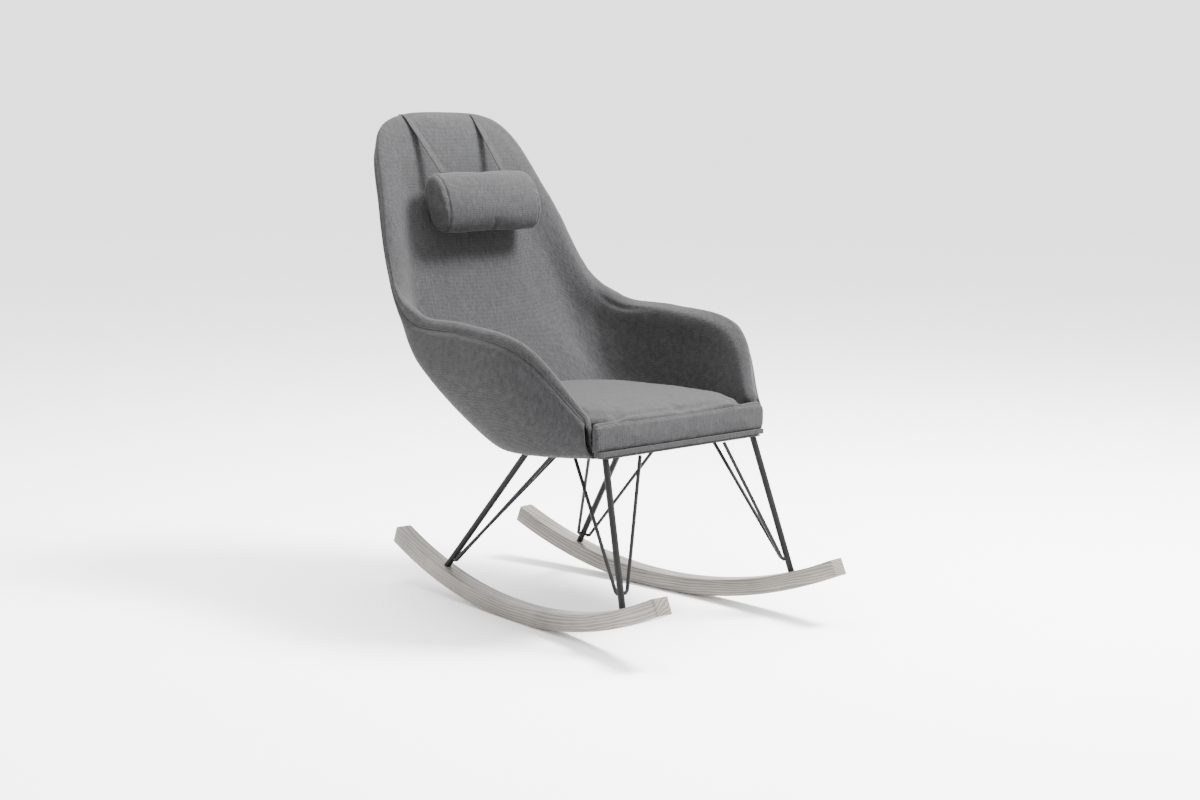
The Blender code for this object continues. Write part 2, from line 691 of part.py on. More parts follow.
# ---------------------------------------------------------------- assembly
def build_chair():
    """Make every piece of the chair."""
    fabric = finish_of("woven_fabric", FABRIC_GREY, 0.95)
    cover = finish_of("outer_cover_fabric", COVER_GREY, 0.95)
    foam = finish_of("moulded_foam", FOAM_GREY, 0.9)
    steel = finish_of("black_powder_coat", STEEL_BLACK, 0.45)
    zinc = finish_of("zinc_plated_steel", ZINC_GREY, 0.35, metallic=1.0)
    wood = finish_of("ash_wood", ASH_GREY, 0.5)
    ply = finish_of("birch_plywood", PLY_BROWN, 0.7)
    dust = finish_of("dust_cloth", DUST_BLACK, 0.95)

    for label, side in SIDES:
        build_rocker(label, side, wood)
        build_foot(f"rear_{label}", side, REAR_FOOT, zinc)
        build_foot(f"front_{label}", side, FRONT_FOOT, zinc)
        rear_top = Vector((side * RAIL_REAR.x, RAIL_REAR.y))
        front_top = Vector((side * RAIL_FRONT.x, RAIL_FRONT.y))
        build_leg("rear", label, side, REAR_FOOT, rear_top,
                  (("side", (0.158, -0.085)), ("cross", (0.036, 0.0174))), steel)
        build_leg("front", label, side, FRONT_FOOT, front_top,
                  (("side", (0.197, -0.196)), ("cross", (0.121, -0.3120))), steel)

    outer = columns_of((RIDGE, SEAM, BULGE, LOW, TURN, BOTTOM))
    inner = columns_of((RIDGE, LIP, INNER_UPPER, INNER_MIDDLE, INNER_LOWER, SEAT_EDGE))
    bottom_row = [column[-1] for column in outer]
    seat_row = [column[-1] for column in inner]
    rails = build_rails(steel)
    base_top = build_seat_base(bottom_row, ply, dust, zinc, rails)
    build_core(outer, inner, foam)
    build_cover("outer_cover", [column[:ROW_STEPS - 1:-1] for column in outer], cover)
    over_rim = [[outside[1], *inside] for outside, inside in zip(outer, inner)]
    build_cover("inner_cover", over_rim, fabric)
    build_seat_cushion(seat_row, bottom_row, base_top, fabric)
    build_front_band(fabric)

    seat_of_headrest = back_point(HEADREST_AT) + FORWARD * HEADREST_CLEAR
    pillow("headrest_cushion", seat_of_headrest, FORWARD, HEADREST_HALF_LONG, HEADREST_HALF_TALL,
           HEADREST_DEEP, fabric)
    bag_seat = rear_point(outer[len(outer) // 2], COUNTERWEIGHT_AT) - FORWARD * COUNTERWEIGHT_CLEAR
    pillow("counterweight_bag", bag_seat, -FORWARD, COUNTERWEIGHT_HALF_LONG,
           COUNTERWEIGHT_HALF_TALL, COUNTERWEIGHT_DEEP, fabric)

    headrest_top = seat_of_headrest + SLIDE * (HEADREST_HALF_TALL + 0.002) + FORWARD * 0.045
    bag_top = bag_seat + SLIDE * (COUNTERWEIGHT_HALF_TALL + 0.002) - FORWARD * 0.010
    route = strap_route(outer, inner, headrest_top.yz, bag_top.yz)
    for label, side in SIDES:
        build_strap(label, side, route, fabric)


clear_scene()
build_chair()
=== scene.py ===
"""Rocking chair: the looks of every piece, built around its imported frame.

Metres, +Z up, the sitter faces -Y. Names with left and right are those of a sitter, so the
left-hand pieces are at +X.
"""
import json
import logging
import math
from contextlib import contextmanager
from dataclasses import dataclass, field
from enum import Enum
from typing import Callable, Iterable, Iterator, Sequence

import bpy
from mathutils import Matrix, Vector, noise
from mathutils.bvhtree import BVHTree


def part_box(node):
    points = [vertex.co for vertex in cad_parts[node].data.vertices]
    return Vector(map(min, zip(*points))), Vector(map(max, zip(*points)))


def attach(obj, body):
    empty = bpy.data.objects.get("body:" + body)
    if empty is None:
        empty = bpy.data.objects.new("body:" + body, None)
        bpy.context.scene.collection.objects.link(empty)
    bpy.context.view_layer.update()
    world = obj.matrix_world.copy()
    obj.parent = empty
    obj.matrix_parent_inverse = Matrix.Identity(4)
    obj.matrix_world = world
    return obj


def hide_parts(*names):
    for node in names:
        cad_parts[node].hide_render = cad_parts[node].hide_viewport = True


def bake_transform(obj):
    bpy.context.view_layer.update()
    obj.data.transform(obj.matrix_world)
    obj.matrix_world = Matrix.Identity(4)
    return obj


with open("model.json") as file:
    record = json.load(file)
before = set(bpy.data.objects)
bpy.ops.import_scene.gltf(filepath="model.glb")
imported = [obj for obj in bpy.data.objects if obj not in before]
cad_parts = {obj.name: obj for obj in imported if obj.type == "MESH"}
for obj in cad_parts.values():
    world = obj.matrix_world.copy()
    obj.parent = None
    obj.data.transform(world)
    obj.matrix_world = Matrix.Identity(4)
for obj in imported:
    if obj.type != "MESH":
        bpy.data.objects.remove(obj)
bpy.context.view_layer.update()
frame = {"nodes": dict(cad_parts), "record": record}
LOG = logging.getLogger("rocking_chair")
CREASE = math.radians(50)         # edges sharper than this get a bevel

Row = tuple[tuple[float, float, float], ...]
Sheet = list[list[Vector]]


class Side(Enum):
    """The two sides of the chair; the value is the sign of X."""

    LEFT = 1
    RIGHT = -1

    @property
    def label(self) -> str:
        """The side's name in lower case."""
        return self.name.lower()


# ------------------------------------------------------------------ modelling helpers
def deselect() -> None:
    """Leave edit mode and clear the selection."""
    if bpy.context.object and bpy.context.object.mode != "OBJECT":
        bpy.ops.object.mode_set(mode="OBJECT")
    bpy.ops.object.select_all(action="DESELECT")


def activate(obj: bpy.types.Object) -> None:
    """Select one object alone and make it the active one."""
    deselect()
    obj.select_set(True)
    bpy.context.view_layer.objects.active = obj


@contextmanager
def editing(obj: bpy.types.Object) -> Iterator[None]:
    """Hold one object in edit mode, with all of its mesh selected."""
    activate(obj)
    bpy.ops.object.mode_set(mode="EDIT")
    bpy.ops.mesh.select_all(action="SELECT")
    yield
    bpy.ops.object.mode_set(mode="OBJECT")


def block(place: tuple[float, float, float],
          size: tuple[float, float, float]) -> bpy.types.Object:
    """Add a plain box of a given size at a place."""
    deselect()
    bpy.ops.mesh.primitive_cube_add(size=1.0, location=place)
    obj = bpy.context.object
    with editing(obj):
        bpy.ops.transform.resize(value=size)
    return obj


def flip(obj: bpy.types.Object) -> None:
    """Turn every face of a mesh over."""
    with editing(obj):
        bpy.ops.mesh.flip_normals()


def apply_modifier(obj: bpy.types.Object, kind: str, **settings: object) -> None:
    """Add a modifier, set it up and apply it.

    Args:
        obj: The mesh object that gets the modifier.
        kind: The modifier's type, such as "BEVEL".
        settings: Values of the modifier's properties.
    """
    activate(obj)
    modifier = obj.modifiers.new(kind.title(), kind)
    for key, value in settings.items():
        setattr(modifier, key, value)
    bpy.ops.object.modifier_apply(modifier=modifier.name)


def settle(obj: bpy.types.Object, name: str, smooth_angle: float = 180.0) -> bpy.types.Object:
    """Finish a piece: name it, put its place into its mesh and shade it smooth.

    Args:
        obj: The piece.
        name: Its name.
        smooth_angle: Edges sharper than this many degrees stay sharp.

    Returns:
        The same object.
    """
    activate(obj)
    obj.name = name
    obj.data.name = name
    bpy.ops.object.transform_apply(location=True, rotation=True, scale=True)
    if smooth_angle >= 180.0:
        bpy.ops.object.shade_smooth()
    else:
        bpy.ops.object.shade_smooth_by_angle(angle=math.radians(smooth_angle))
    return obj


def outward(obj: bpy.types.Object) -> None:
    """Merge doubles and turn a closed mesh's faces outwards."""
    with editing(obj):
        bpy.ops.mesh.remove_doubles(threshold=1e-5)
        bpy.ops.mesh.normals_make_consistent(inside=False)


def copy_of(*nodes: str) -> bpy.types.Object:
    """Copy CAD solids into one free mesh with merged vertices.

    Args:
        nodes: Names of CAD nodes.

    Returns:
        A new object that holds all of them.
    """
    deselect()
    made = []
    for name in nodes:
        source = frame["nodes"][name]
        new = source.copy()
        new.data = source.data.copy()
        new.data.materials.clear()
        new.parent = None
        new.matrix_world = Matrix.Identity(4)
        for key in list(new.keys()):
            del new[key]
        new.hide_render = False
        new.hide_viewport = False
        bpy.context.scene.collection.objects.link(new)
        made.append(new)
    activate(made[0])
    for new in made:
        new.select_set(True)
    if len(made) > 1:
        bpy.ops.object.join()
    outward(made[0])
    return made[0]


def through(points: Sequence[Vector], steps: int) -> list[Vector]:
    """Sample a centripetal Catmull-Rom curve through points, with its ends reflected.

    Args:
        points: Points the curve passes.
        steps: Samples from one point to the next.

    Returns:
        The samples, with the first and last point among them.
    """
    points = [Vector(p) for p in points]
    line = [2 * points[0] - points[1], *points, 2 * points[-1] - points[-2]]
    samples = [points[0]]
    for a, b, c, d in zip(line, line[1:], line[2:], line[3:]):
        ta = 0.0
        tb = ta + math.sqrt((b - a).length)
        tc = tb + math.sqrt((c - b).length)
        td = tc + math.sqrt((d - c).length)
        for k in range(1, steps + 1):
            t = tb + (tc - tb) * k / steps
            ab = a.lerp(b, (t - ta) / (tb - ta))
            bc = b.lerp(c, (t - tb) / (tc - tb))
            cd = c.lerp(d, (t - tc) / (td - tc))
            abc = ab.lerp(bc, (t - ta) / (tc - ta))
            bcd = bc.lerp(cd, (t - tb) / (td - tb))
            samples.append(abc.lerp(bcd, (t - tb) / (tc - tb)))
    return samples


def evenly(points: Sequence[Vector], pitch: float) -> list[Vector]:
    """Points at an even spacing along a polyline.

    Args:
        points: The polyline.
        pitch: Spacing in metres.

    Returns:
        The new points.
    """
    made = [points[0].copy()]
    carried = 0.0
    for a, b in zip(points, points[1:]):
        length = (b - a).length
        while carried + length >= pitch:
            share = (pitch - carried) / length
            a = a.lerp(b, share)
            made.append(a.copy())
            length = (b - a).length
            carried = 0.0
        carried += length
    return made


def lay_sheet(name: str, rows: Sheet) -> bpy.types.Object:
    """Lay a grid over rows of points of equal length.

    Args:
        name: The new object's name.
        rows: The points, row by row.

    Returns:
        An open sheet, one vertex for each point.
    """
    deselect()
    across, down = len(rows[0]) - 1, len(rows) - 1
    bpy.ops.mesh.primitive_grid_add(x_subdivisions=across, y_subdivisions=down, size=1.0)
    obj = bpy.context.object
    obj.name = name
    for vert in obj.data.vertices:
        column = round((vert.co.x + 0.5) * across)
        row = round((vert.co.y + 0.5) * down)
        vert.co = rows[row][column]
    return obj


def point_normals(rows: Sheet, away_from: Vector) -> Sheet:
    """Normals of a sheet of points, turned away from a given point.

    Args:
        rows: The points, row by row.
        away_from: The point that the normals turn away from.

    Returns:
        Unit vectors in the same rows.
    """
    normals = []
    for r, row in enumerate(rows):
        above = rows[max(r - 1, 0)]
        below = rows[min(r + 1, len(rows) - 1)]
        line = []
        for c, point in enumerate(row):
            along = row[min(c + 1, len(row) - 1)] - row[max(c - 1, 0)]
            normal = along.cross(below[c] - above[c]).normalized()
            line.append(normal)
        normals.append(line)
    votes = 0.0
    for row, line in zip(rows, normals):
        votes += sum((point - away_from).dot(n) for point, n in zip(row, line))
    if votes < 0:
        normals = [[-n for n in line] for line in normals]
    return normals


def tube_along(name: str, points: Sequence[Vector], radius: float,
               closed: bool = False) -> bpy.types.Object:
    """A round thread whose middle line runs through points.

    Args:
        name: The new object's name.
        points: The middle line.
        radius: Half the thickness.
        closed: Whether the last point joins the first.

    Returns:
        A closed mesh.
    """
    deselect()
    bpy.ops.curve.primitive_nurbs_path_add()
    obj = bpy.context.object
    curve = obj.data
    curve.splines.clear()
    spline = curve.splines.new("POLY")
    spline.points.add(len(points) - 1)
    for slot, point in zip(spline.points, points):
        slot.co = (*point, 1.0)
    spline.use_cyclic_u = closed
    curve.bevel_depth = radius
    curve.bevel_resolution = 1
    curve.use_fill_caps = not closed
    obj.matrix_world = Matrix.Identity(4)
    activate(obj)
    bpy.ops.object.convert(target="MESH")
    outward(obj)
    return settle(obj, name)


def surface_of(obj: bpy.types.Object) -> BVHTree:
    """A search tree of a piece's surface."""
    return BVHTree.FromObject(obj, bpy.context.evaluated_depsgraph_get())


def lift_points(obj: bpy.types.Object, height: Callable[[Vector], float]) -> None:
    """Move every vertex along its normal.

    Args:
        obj: The mesh object.
        height: Gives the move in metres for a vertex's place.
    """
    places = [(v.co.copy(), v.normal.copy()) for v in obj.data.vertices]
    moved: list[float] = []
    for place, normal in places:
        moved.extend(place + normal * height(place))
    obj.data.vertices.foreach_set("co", moved)
    obj.data.update()


def ripple(point: Vector, size: float, seed: float = 0.0) -> float:
    """Smooth repeatable noise from -1 to 1 with features of a given size in metres."""
    return noise.noise(point / size + Vector((seed, 2.3 * seed, -seed)))


# ------------------------------------------------------------------ material helpers
def linear(code: str) -> tuple[float, float, float, float]:
    """Turn an sRGB hex colour into linear RGBA.

    Args:
        code: Six hex digits with a leading hash.

    Returns:
        Linear red, green, blue and an alpha of one.
    """
    channels = []
    for start in (1, 3, 5):
        value = int(code[start:start + 2], 16) / 255
        channels.append(value / 12.92 if value <= 0.04045 else ((value + 0.055) / 1.055) ** 2.4)
    return (*channels, 1.0)


def add_node(tree: bpy.types.NodeTree, kind: str, links: dict[str | int, object] | None = None,
             **settings: object) -> bpy.types.Node:
    """Add a node with its settings, its constants and its links.

    Args:
        tree: The material's node tree.
        kind: The node's type without the leading "ShaderNode".
        links: For each input, by name or number, a socket to link or a constant.
        settings: Properties of the node.

    Returns:
        The new node.
    """
    node = tree.nodes.new("ShaderNode" + kind)
    for key, value in settings.items():
        setattr(node, key, value)
    for key, value in (links or {}).items():
        if isinstance(value, bpy.types.NodeSocket):
            tree.links.new(value, node.inputs[key])
        else:
            node.inputs[key].default_value = value
    return node


def new_material(name: str, **constants: object) -> bpy.types.Material:
    """Make a Principled material.

    Args:
        name: The material's name.
        constants: Values for the shader's sockets, with underscores for spaces.

    Returns:
        The material.
    """
    mat = bpy.data.materials.new(name)
    mat.use_nodes = True
    shader = mat.node_tree.nodes["Principled BSDF"]
    for key, value in constants.items():
        shader.inputs[key.replace("_", " ")].default_value = value
    return mat


def wire(mat: bpy.types.Material, colour: bpy.types.NodeSocket,
         rough: bpy.types.NodeSocket | None = None, height: bpy.types.NodeSocket | None = None,
         strength: float = 0.0, distance: float = 0.0) -> bpy.types.Material:
    """Link patterns to a material's shader.

    Args:
        mat: The material.
        colour: The base colour.
        rough: The roughness, when it varies.
        height: The relief's height, when there is one.
        strength: The relief's strength.
        distance: The relief's depth in metres.

    Returns:
        The same material.
    """
    tree = mat.node_tree
    inputs = tree.nodes["Principled BSDF"].inputs
    tree.links.new(colour, inputs["Base Color"])
    if rough is not None:
        tree.links.new(rough, inputs["Roughness"])
    if height is not None:
        bump = add_node(tree, "Bump", {"Height": height, "Strength": strength,
                                       "Distance": distance})
        tree.links.new(bump.outputs[0], inputs["Normal"])
    return mat


def tint(code: str, gain: float, lift: float = 0.0) -> tuple[float, float, float, float]:
    """Turn a hex colour into linear RGBA and make it lighter or darker."""
    return tuple(min(1.0, c * gain + lift) for c in linear(code)[:3]) + (1.0,)


def object_place(tree: bpy.types.NodeTree) -> bpy.types.NodeSocket:
    """The place on the object, in metres."""
    return add_node(tree, "TexCoord").outputs["Object"]


def compute(tree: bpy.types.NodeTree, operation: str, *values: object) -> bpy.types.NodeSocket:
    """Join sockets and numbers in one Math node."""
    return add_node(tree, "Math", dict(enumerate(values)), operation=operation).outputs[0]


def stretch(tree: bpy.types.NodeTree, place: bpy.types.NodeSocket,
            scale: tuple[float, float, float]) -> bpy.types.NodeSocket:
    """Scale a place along each axis, which draws a pattern out."""
    return add_node(tree, "Mapping", {"Vector": place, "Scale": scale}).outputs[0]


def noise_at(tree: bpy.types.NodeTree, place: bpy.types.NodeSocket, scale: float,
             detail: float = 2.0) -> bpy.types.NodeSocket:
    """Noise from 0 to 1 with so many features to the metre."""
    links = {"Vector": place, "Scale": scale, "Detail": detail}
    return add_node(tree, "TexNoise", links).outputs["Fac"]


def remap(tree: bpy.types.NodeTree, value: bpy.types.NodeSocket, source: tuple[float, float],
          target: tuple[float, float] = (0.0, 1.0)) -> bpy.types.NodeSocket:
    """Stretch one range of a value to another."""
    return add_node(tree, "MapRange", {"Value": value, "From Min": source[0],
                                       "From Max": source[1], "To Min": target[0],
                                       "To Max": target[1]}).outputs[0]


def ramp(tree: bpy.types.NodeTree, factor: bpy.types.NodeSocket,
         stops: Sequence[tuple[float, tuple[float, float, float, float]]]) -> bpy.types.NodeSocket:
    """Turn a value into a colour.

    Args:
        tree: The material's node tree.
        factor: The value.
        stops: Positions from 0 to 1 with their colours.

    Returns:
        The colour socket.
    """
    node = add_node(tree, "ValToRGB", {"Fac": factor})
    for element, (position, colour) in zip(node.color_ramp.elements, stops):
        element.position = position
        element.color = colour
    return node.outputs["Color"]


@dataclass(frozen=True)
class WovenFabric:
    """Plain-weave polyester upholstery cloth, spun from grey yarns of slightly mixed shades.

    The mixed yarns give the eye a fine mottled grey, the crossing threads a dry matt grain, and
    the fuzz on the yarns a faint bright sheen at glancing angles.
    """

    name: str
    light: str
    dark: str
    thread: float = 0.0021        # real threads are 0.7 mm; drawn three times coarser to show
    grain: float = 0.30           # strength of the relief
    sheen: float = 0.06

    def build(self) -> bpy.types.Material:
        """Make the material."""
        mat = new_material(self.name, Roughness=0.92, Sheen_Weight=self.sheen,
                           Sheen_Roughness=0.45, IOR=1.45, Specular_IOR_Level=0.25)
        tree = mat.node_tree
        place = object_place(tree)
        wave = math.pi / self.thread
        scaled = add_node(tree, "VectorMath", {0: place, 1: (wave, wave, wave)},
                          operation="MULTIPLY").outputs[0]
        jitter = add_node(tree, "TexNoise", {"Vector": place, "Scale": 260.0, "Detail": 1.0})
        shifted = add_node(tree, "VectorMath",
                           {0: jitter.outputs["Color"], 1: (1.6, 1.6, 1.6), 2: scaled},
                           operation="MULTIPLY_ADD").outputs[0]
        axes = add_node(tree, "SeparateXYZ", {0: shifted}).outputs
        sines = [compute(tree, "SINE", axes[k]) for k in range(3)]
        pairs = [compute(tree, "MULTIPLY", sines[a], sines[b]) for a, b in ((0, 1), (1, 2), (2, 0))]
        weave = compute(tree, "ADD", compute(tree, "ADD", pairs[0], pairs[1]), pairs[2])
        marl = noise_at(tree, place, 520.0, 1.0)
        slub = noise_at(tree, stretch(tree, place, (300.0, 60.0, 60.0)), 1.0)
        wear = noise_at(tree, place, 9.0, 3.0)
        mixed = compute(tree, "MULTIPLY_ADD", weave, 0.10, compute(tree, "ADD", marl, slub))
        mixed = compute(tree, "MULTIPLY_ADD", wear, 0.04, mixed)
        colour = ramp(tree, remap(tree, mixed, (0.72, 1.36)),
                      ((0.0, linear(self.dark)), (1.0, linear(self.light))))
        return wire(mat, colour, height=compute(tree, "MULTIPLY_ADD", marl, 1.4, weave),
                    strength=self.grain, distance=0.0006)


@dataclass(frozen=True)
class SewingThread:
    """Twisted polyester thread, darker than the cloth: the dark tone is partly painted shade, so a
    seam's groove reads as a fine dark line.
    """

    name: str
    shade: str

    def build(self) -> bpy.types.Material:
        """Make the material."""
        mat = new_material(self.name, Roughness=0.6, IOR=1.5)
        tree = mat.node_tree
        twist = noise_at(tree, object_place(tree), 900.0)
        stops = ((0.3, linear(self.shade)), (0.7, tint(self.shade, 1.5)))
        return wire(mat, ramp(tree, twist, stops))


@dataclass(frozen=True)
class PowderCoat:
    """Black polyester powder baked on steel: a matt skin with a soft orange-peel texture."""

    name: str
    shade: str

    def build(self) -> bpy.types.Material:
        """Make the material."""
        mat = new_material(self.name, IOR=1.5, Specular_IOR_Level=0.2)
        tree = mat.node_tree
        place = object_place(tree)
        rub = noise_at(tree, place, 14.0, 4.0)
        dusty = tint(self.shade, 1.4, 0.001)
        return wire(mat, ramp(tree, rub, ((0.42, linear(self.shade)), (0.75, dusty))),
                    rough=remap(tree, rub, (0.0, 1.0), (0.42, 0.58)),
                    height=noise_at(tree, place, 520.0), strength=0.25, distance=0.0003)


@dataclass(frozen=True)
class LacqueredAsh:
    """Steam-bent ash under clear satin lacquer: pale bands of grain that run along the curve,
    with short dark pores, and a soft shine."""

    name: str
    early: str
    late: str
    ring: float = 0.0065          # real year rings are 2 to 3 mm; drawn coarser to show

    def build(self) -> bpy.types.Material:
        """Make the material. It reads the attribute "grain": along, across and up in metres."""
        mat = new_material(self.name, IOR=1.5, Coat_Weight=0.25, Coat_Roughness=0.25)
        tree = mat.node_tree
        place = add_node(tree, "Attribute", attribute_name="grain").outputs["Vector"]
        warp = add_node(tree, "TexNoise", {"Vector": stretch(tree, place, (3.2, 22.0, 22.0)),
                                           "Scale": 1.0, "Detail": 2.0})
        bent = add_node(tree, "VectorMath", {0: warp.outputs["Color"], 1: (0.0, 0.026, 0.030),
                                             2: place}, operation="MULTIPLY_ADD").outputs[0]
        axes = add_node(tree, "SeparateXYZ", {0: bent}).outputs
        across = compute(tree, "MULTIPLY_ADD", axes[1], 0.55, axes[2])
        turns = compute(tree, "MULTIPLY", across, 2 * math.pi / self.ring)
        band = remap(tree, compute(tree, "SINE", turns), (-1.0, 1.0))
        pores = noise_at(tree, stretch(tree, place, (45.0, 900.0, 900.0)), 1.0)
        level = compute(tree, "MULTIPLY_ADD", band, 0.55, noise_at(tree, place, 7.0))
        level = compute(tree, "MULTIPLY_ADD", pores, 0.5, level)
        level = remap(tree, level, (0.55, 1.35))
        colour = ramp(tree, level, ((0.0, linear(self.early)), (1.0, linear(self.late))))
        return wire(mat, colour, rough=remap(tree, level, (0.0, 1.0), (0.38, 0.52)),
                    height=pores, strength=0.15, distance=0.0004)


@dataclass(frozen=True)
class ZincPlate:
    """Bright zinc plating on turned steel: a cool grey metal with fine turning marks."""

    name: str
    shade: str

    def build(self) -> bpy.types.Material:
        """Make the material."""
        mat = new_material(self.name, Metallic=1.0)
        tree = mat.node_tree
        marks = noise_at(tree, stretch(tree, object_place(tree), (200.0, 200.0, 2500.0)), 1.0)
        dull = tint(self.shade, 0.75)
        return wire(mat, ramp(tree, marks, ((0.3, dull), (0.7, linear(self.shade)))),
                    rough=remap(tree, marks, (0.0, 1.0), (0.24, 0.42)))


@dataclass(frozen=True)
class BirchPlywood:
    """Birch plywood: a long fine figure and darker glue lines at the edge."""

    name: str
    light: str
    dark: str
    ply: float = 0.0015

    def build(self) -> bpy.types.Material:
        """Make the material."""
        mat = new_material(self.name, Roughness=0.72, IOR=1.45)
        tree = mat.node_tree
        place = object_place(tree)
        figure = noise_at(tree, stretch(tree, place, (160.0, 9.0, 160.0)), 1.0, 3.0)
        axes = add_node(tree, "SeparateXYZ", {0: place}).outputs
        level = compute(tree, "MULTIPLY_ADD", axes[1], 0.09, axes[2])
        lines = compute(tree, "SINE", compute(tree, "MULTIPLY", level, math.pi / self.ply))
        mixed = compute(tree, "MULTIPLY_ADD", lines, 0.12, figure)
        return wire(mat, ramp(tree, mixed, ((0.3, linear(self.light)), (0.75, linear(self.dark)))))


@dataclass(frozen=True)
class DustCloth:
    """Black spunbonded cloth under the seat: flat and dull, with a fine dimpled bond pattern."""

    name: str
    shade: str
    dimple: float = 0.0016

    def build(self) -> bpy.types.Material:
        """Make the material."""
        mat = new_material(self.name, Roughness=0.95, IOR=1.45)
        tree = mat.node_tree
        place = object_place(tree)
        cells = add_node(tree, "TexVoronoi", {"Vector": place, "Scale": 1.0 / self.dimple})
        fibre = noise_at(tree, place, 350.0, 3.0)
        pale = tint(self.shade, 2.2, 0.004)
        return wire(mat, ramp(tree, fibre, ((0.35, linear(self.shade)), (0.75, pale))),
                    height=cells.outputs["Distance"], strength=0.4, distance=0.0003)


@dataclass(frozen=True)
class PaintedFloor:
    """A smooth white studio floor with the faintest unevenness in its paint."""

    name: str
    shade: str

    def build(self) -> bpy.types.Material:
        """Make the material."""
        mat = new_material(self.name, Roughness=0.75, IOR=1.45)
        tree = mat.node_tree
        cloud = noise_at(tree, object_place(tree), 1.3, 3.0)
        darker = tint(self.shade, 0.985)
        return wire(mat, ramp(tree, cloud, ((0.3, darker), (0.7, linear(self.shade)))))


@dataclass
class Finishes:
    """Every finish of the chair, by the record's material slot."""

    made: dict[str, bpy.types.Material] = field(default_factory=dict)

    def build(self) -> None:
        """Make the materials."""
        for slot_name, finish in (
                ("woven_fabric", WovenFabric("woven_grey_polyester", "#303031", "#1e1e1f")),
                # the outer cover's cloth is the same woven grey made darker: painted shade for the
                # chair's shaded outer side
                ("outer_cover_fabric", WovenFabric("woven_grey_polyester_outer", "#2b2b2c",
                                                   "#1b1b1c")),
                # the thread's near-black tone is partly painted shade of the seams' grooves
                ("thread", SewingThread("polyester_thread", "#121213")),
                ("black_powder_coat", PowderCoat("black_powder_coated_steel", "#0b0b0c")),
                ("ash_wood", LacqueredAsh("lacquered_ash", "#726d66", "#464139")),
                ("zinc_plated_steel", ZincPlate("bright_zinc_plate", "#b4b6ba")),
                ("birch_plywood", BirchPlywood("raw_birch_plywood", "#6b5b43", "#50412c")),
                ("dust_cloth", DustCloth("spunbonded_dust_cloth", "#202021")),
                ("floor", PaintedFloor("white_studio_floor", "#ffffff"))):
            self.made[slot_name] = finish.build()

    def dress(self, obj: bpy.types.Object, slot_name: str) -> None:
        """Give a piece the finish of one of the record's slots.

        Args:
            obj: The piece.
            slot_name: The finish.
        """
        obj.data.materials.clear()
        obj.data.materials.append(self.made[slot_name])


# ------------------------------------------------------------------ padding
@dataclass
class Padding:
    """Blows a closed pad up with a cloth simulation, so that its cover takes a filled shape."""

    voxel: float = 0.005
    pressure: float = 4.0
    reach: tuple[float, float, float] = (0.004, 0.004, 0.010)
    shrink: float = 0.002
    frames: int = 20

    def fill(self, obj: bpy.types.Object) -> None:
        """Remesh, simulate, limit the movement and smooth the pad.

        Args:
            obj: The pad, a closed mesh.
        """
        activate(obj)
        apply_modifier(obj, "DISPLACE", strength=-self.shrink, mid_level=0.0)
        obj.data.remesh_voxel_size = self.voxel
        bpy.ops.object.voxel_remesh()
        apply_modifier(obj, "SMOOTH", factor=0.5, iterations=6)
        self._simulate(obj)
        apply_modifier(obj, "SUBSURF", levels=1, render_levels=1)

    def _simulate(self, obj: bpy.types.Object) -> None:
        """Step the cloth and keep each point within reach of its start."""
        scene = bpy.context.scene
        cloth = obj.modifiers.new("Filling", "CLOTH")
        cloth.settings.quality = 4
        cloth.settings.mass = 0.25
        cloth.settings.tension_stiffness = 12
        cloth.settings.compression_stiffness = 12
        cloth.settings.shear_stiffness = 6
        cloth.settings.bending_stiffness = 0.8
        cloth.settings.use_pressure = True
        cloth.settings.uniform_pressure_force = self.pressure
        cloth.settings.effector_weights.gravity = 0.0
        cloth.collision_settings.use_collision = False
        cloth.point_cache.frame_start = 1
        cloth.point_cache.frame_end = self.frames
        for step in range(1, self.frames + 1):
            scene.frame_set(step)
        filled = obj.evaluated_get(bpy.context.evaluated_depsgraph_get()).data
        moved = [v.co.copy() for v in filled.vertices]
        obj.modifiers.remove(cloth)
        scene.frame_set(1)
        for vert, target in zip(obj.data.vertices, moved):
            shift = target - vert.co
            share = max(abs(shift[k]) / self.reach[k] for k in range(3))
            vert.co = vert.co + shift * (math.tanh(share) / share if share > 1e-6 else 1.0)
        obj.data.update()
        apply_modifier(obj, "SMOOTH", factor=0.5, iterations=3)


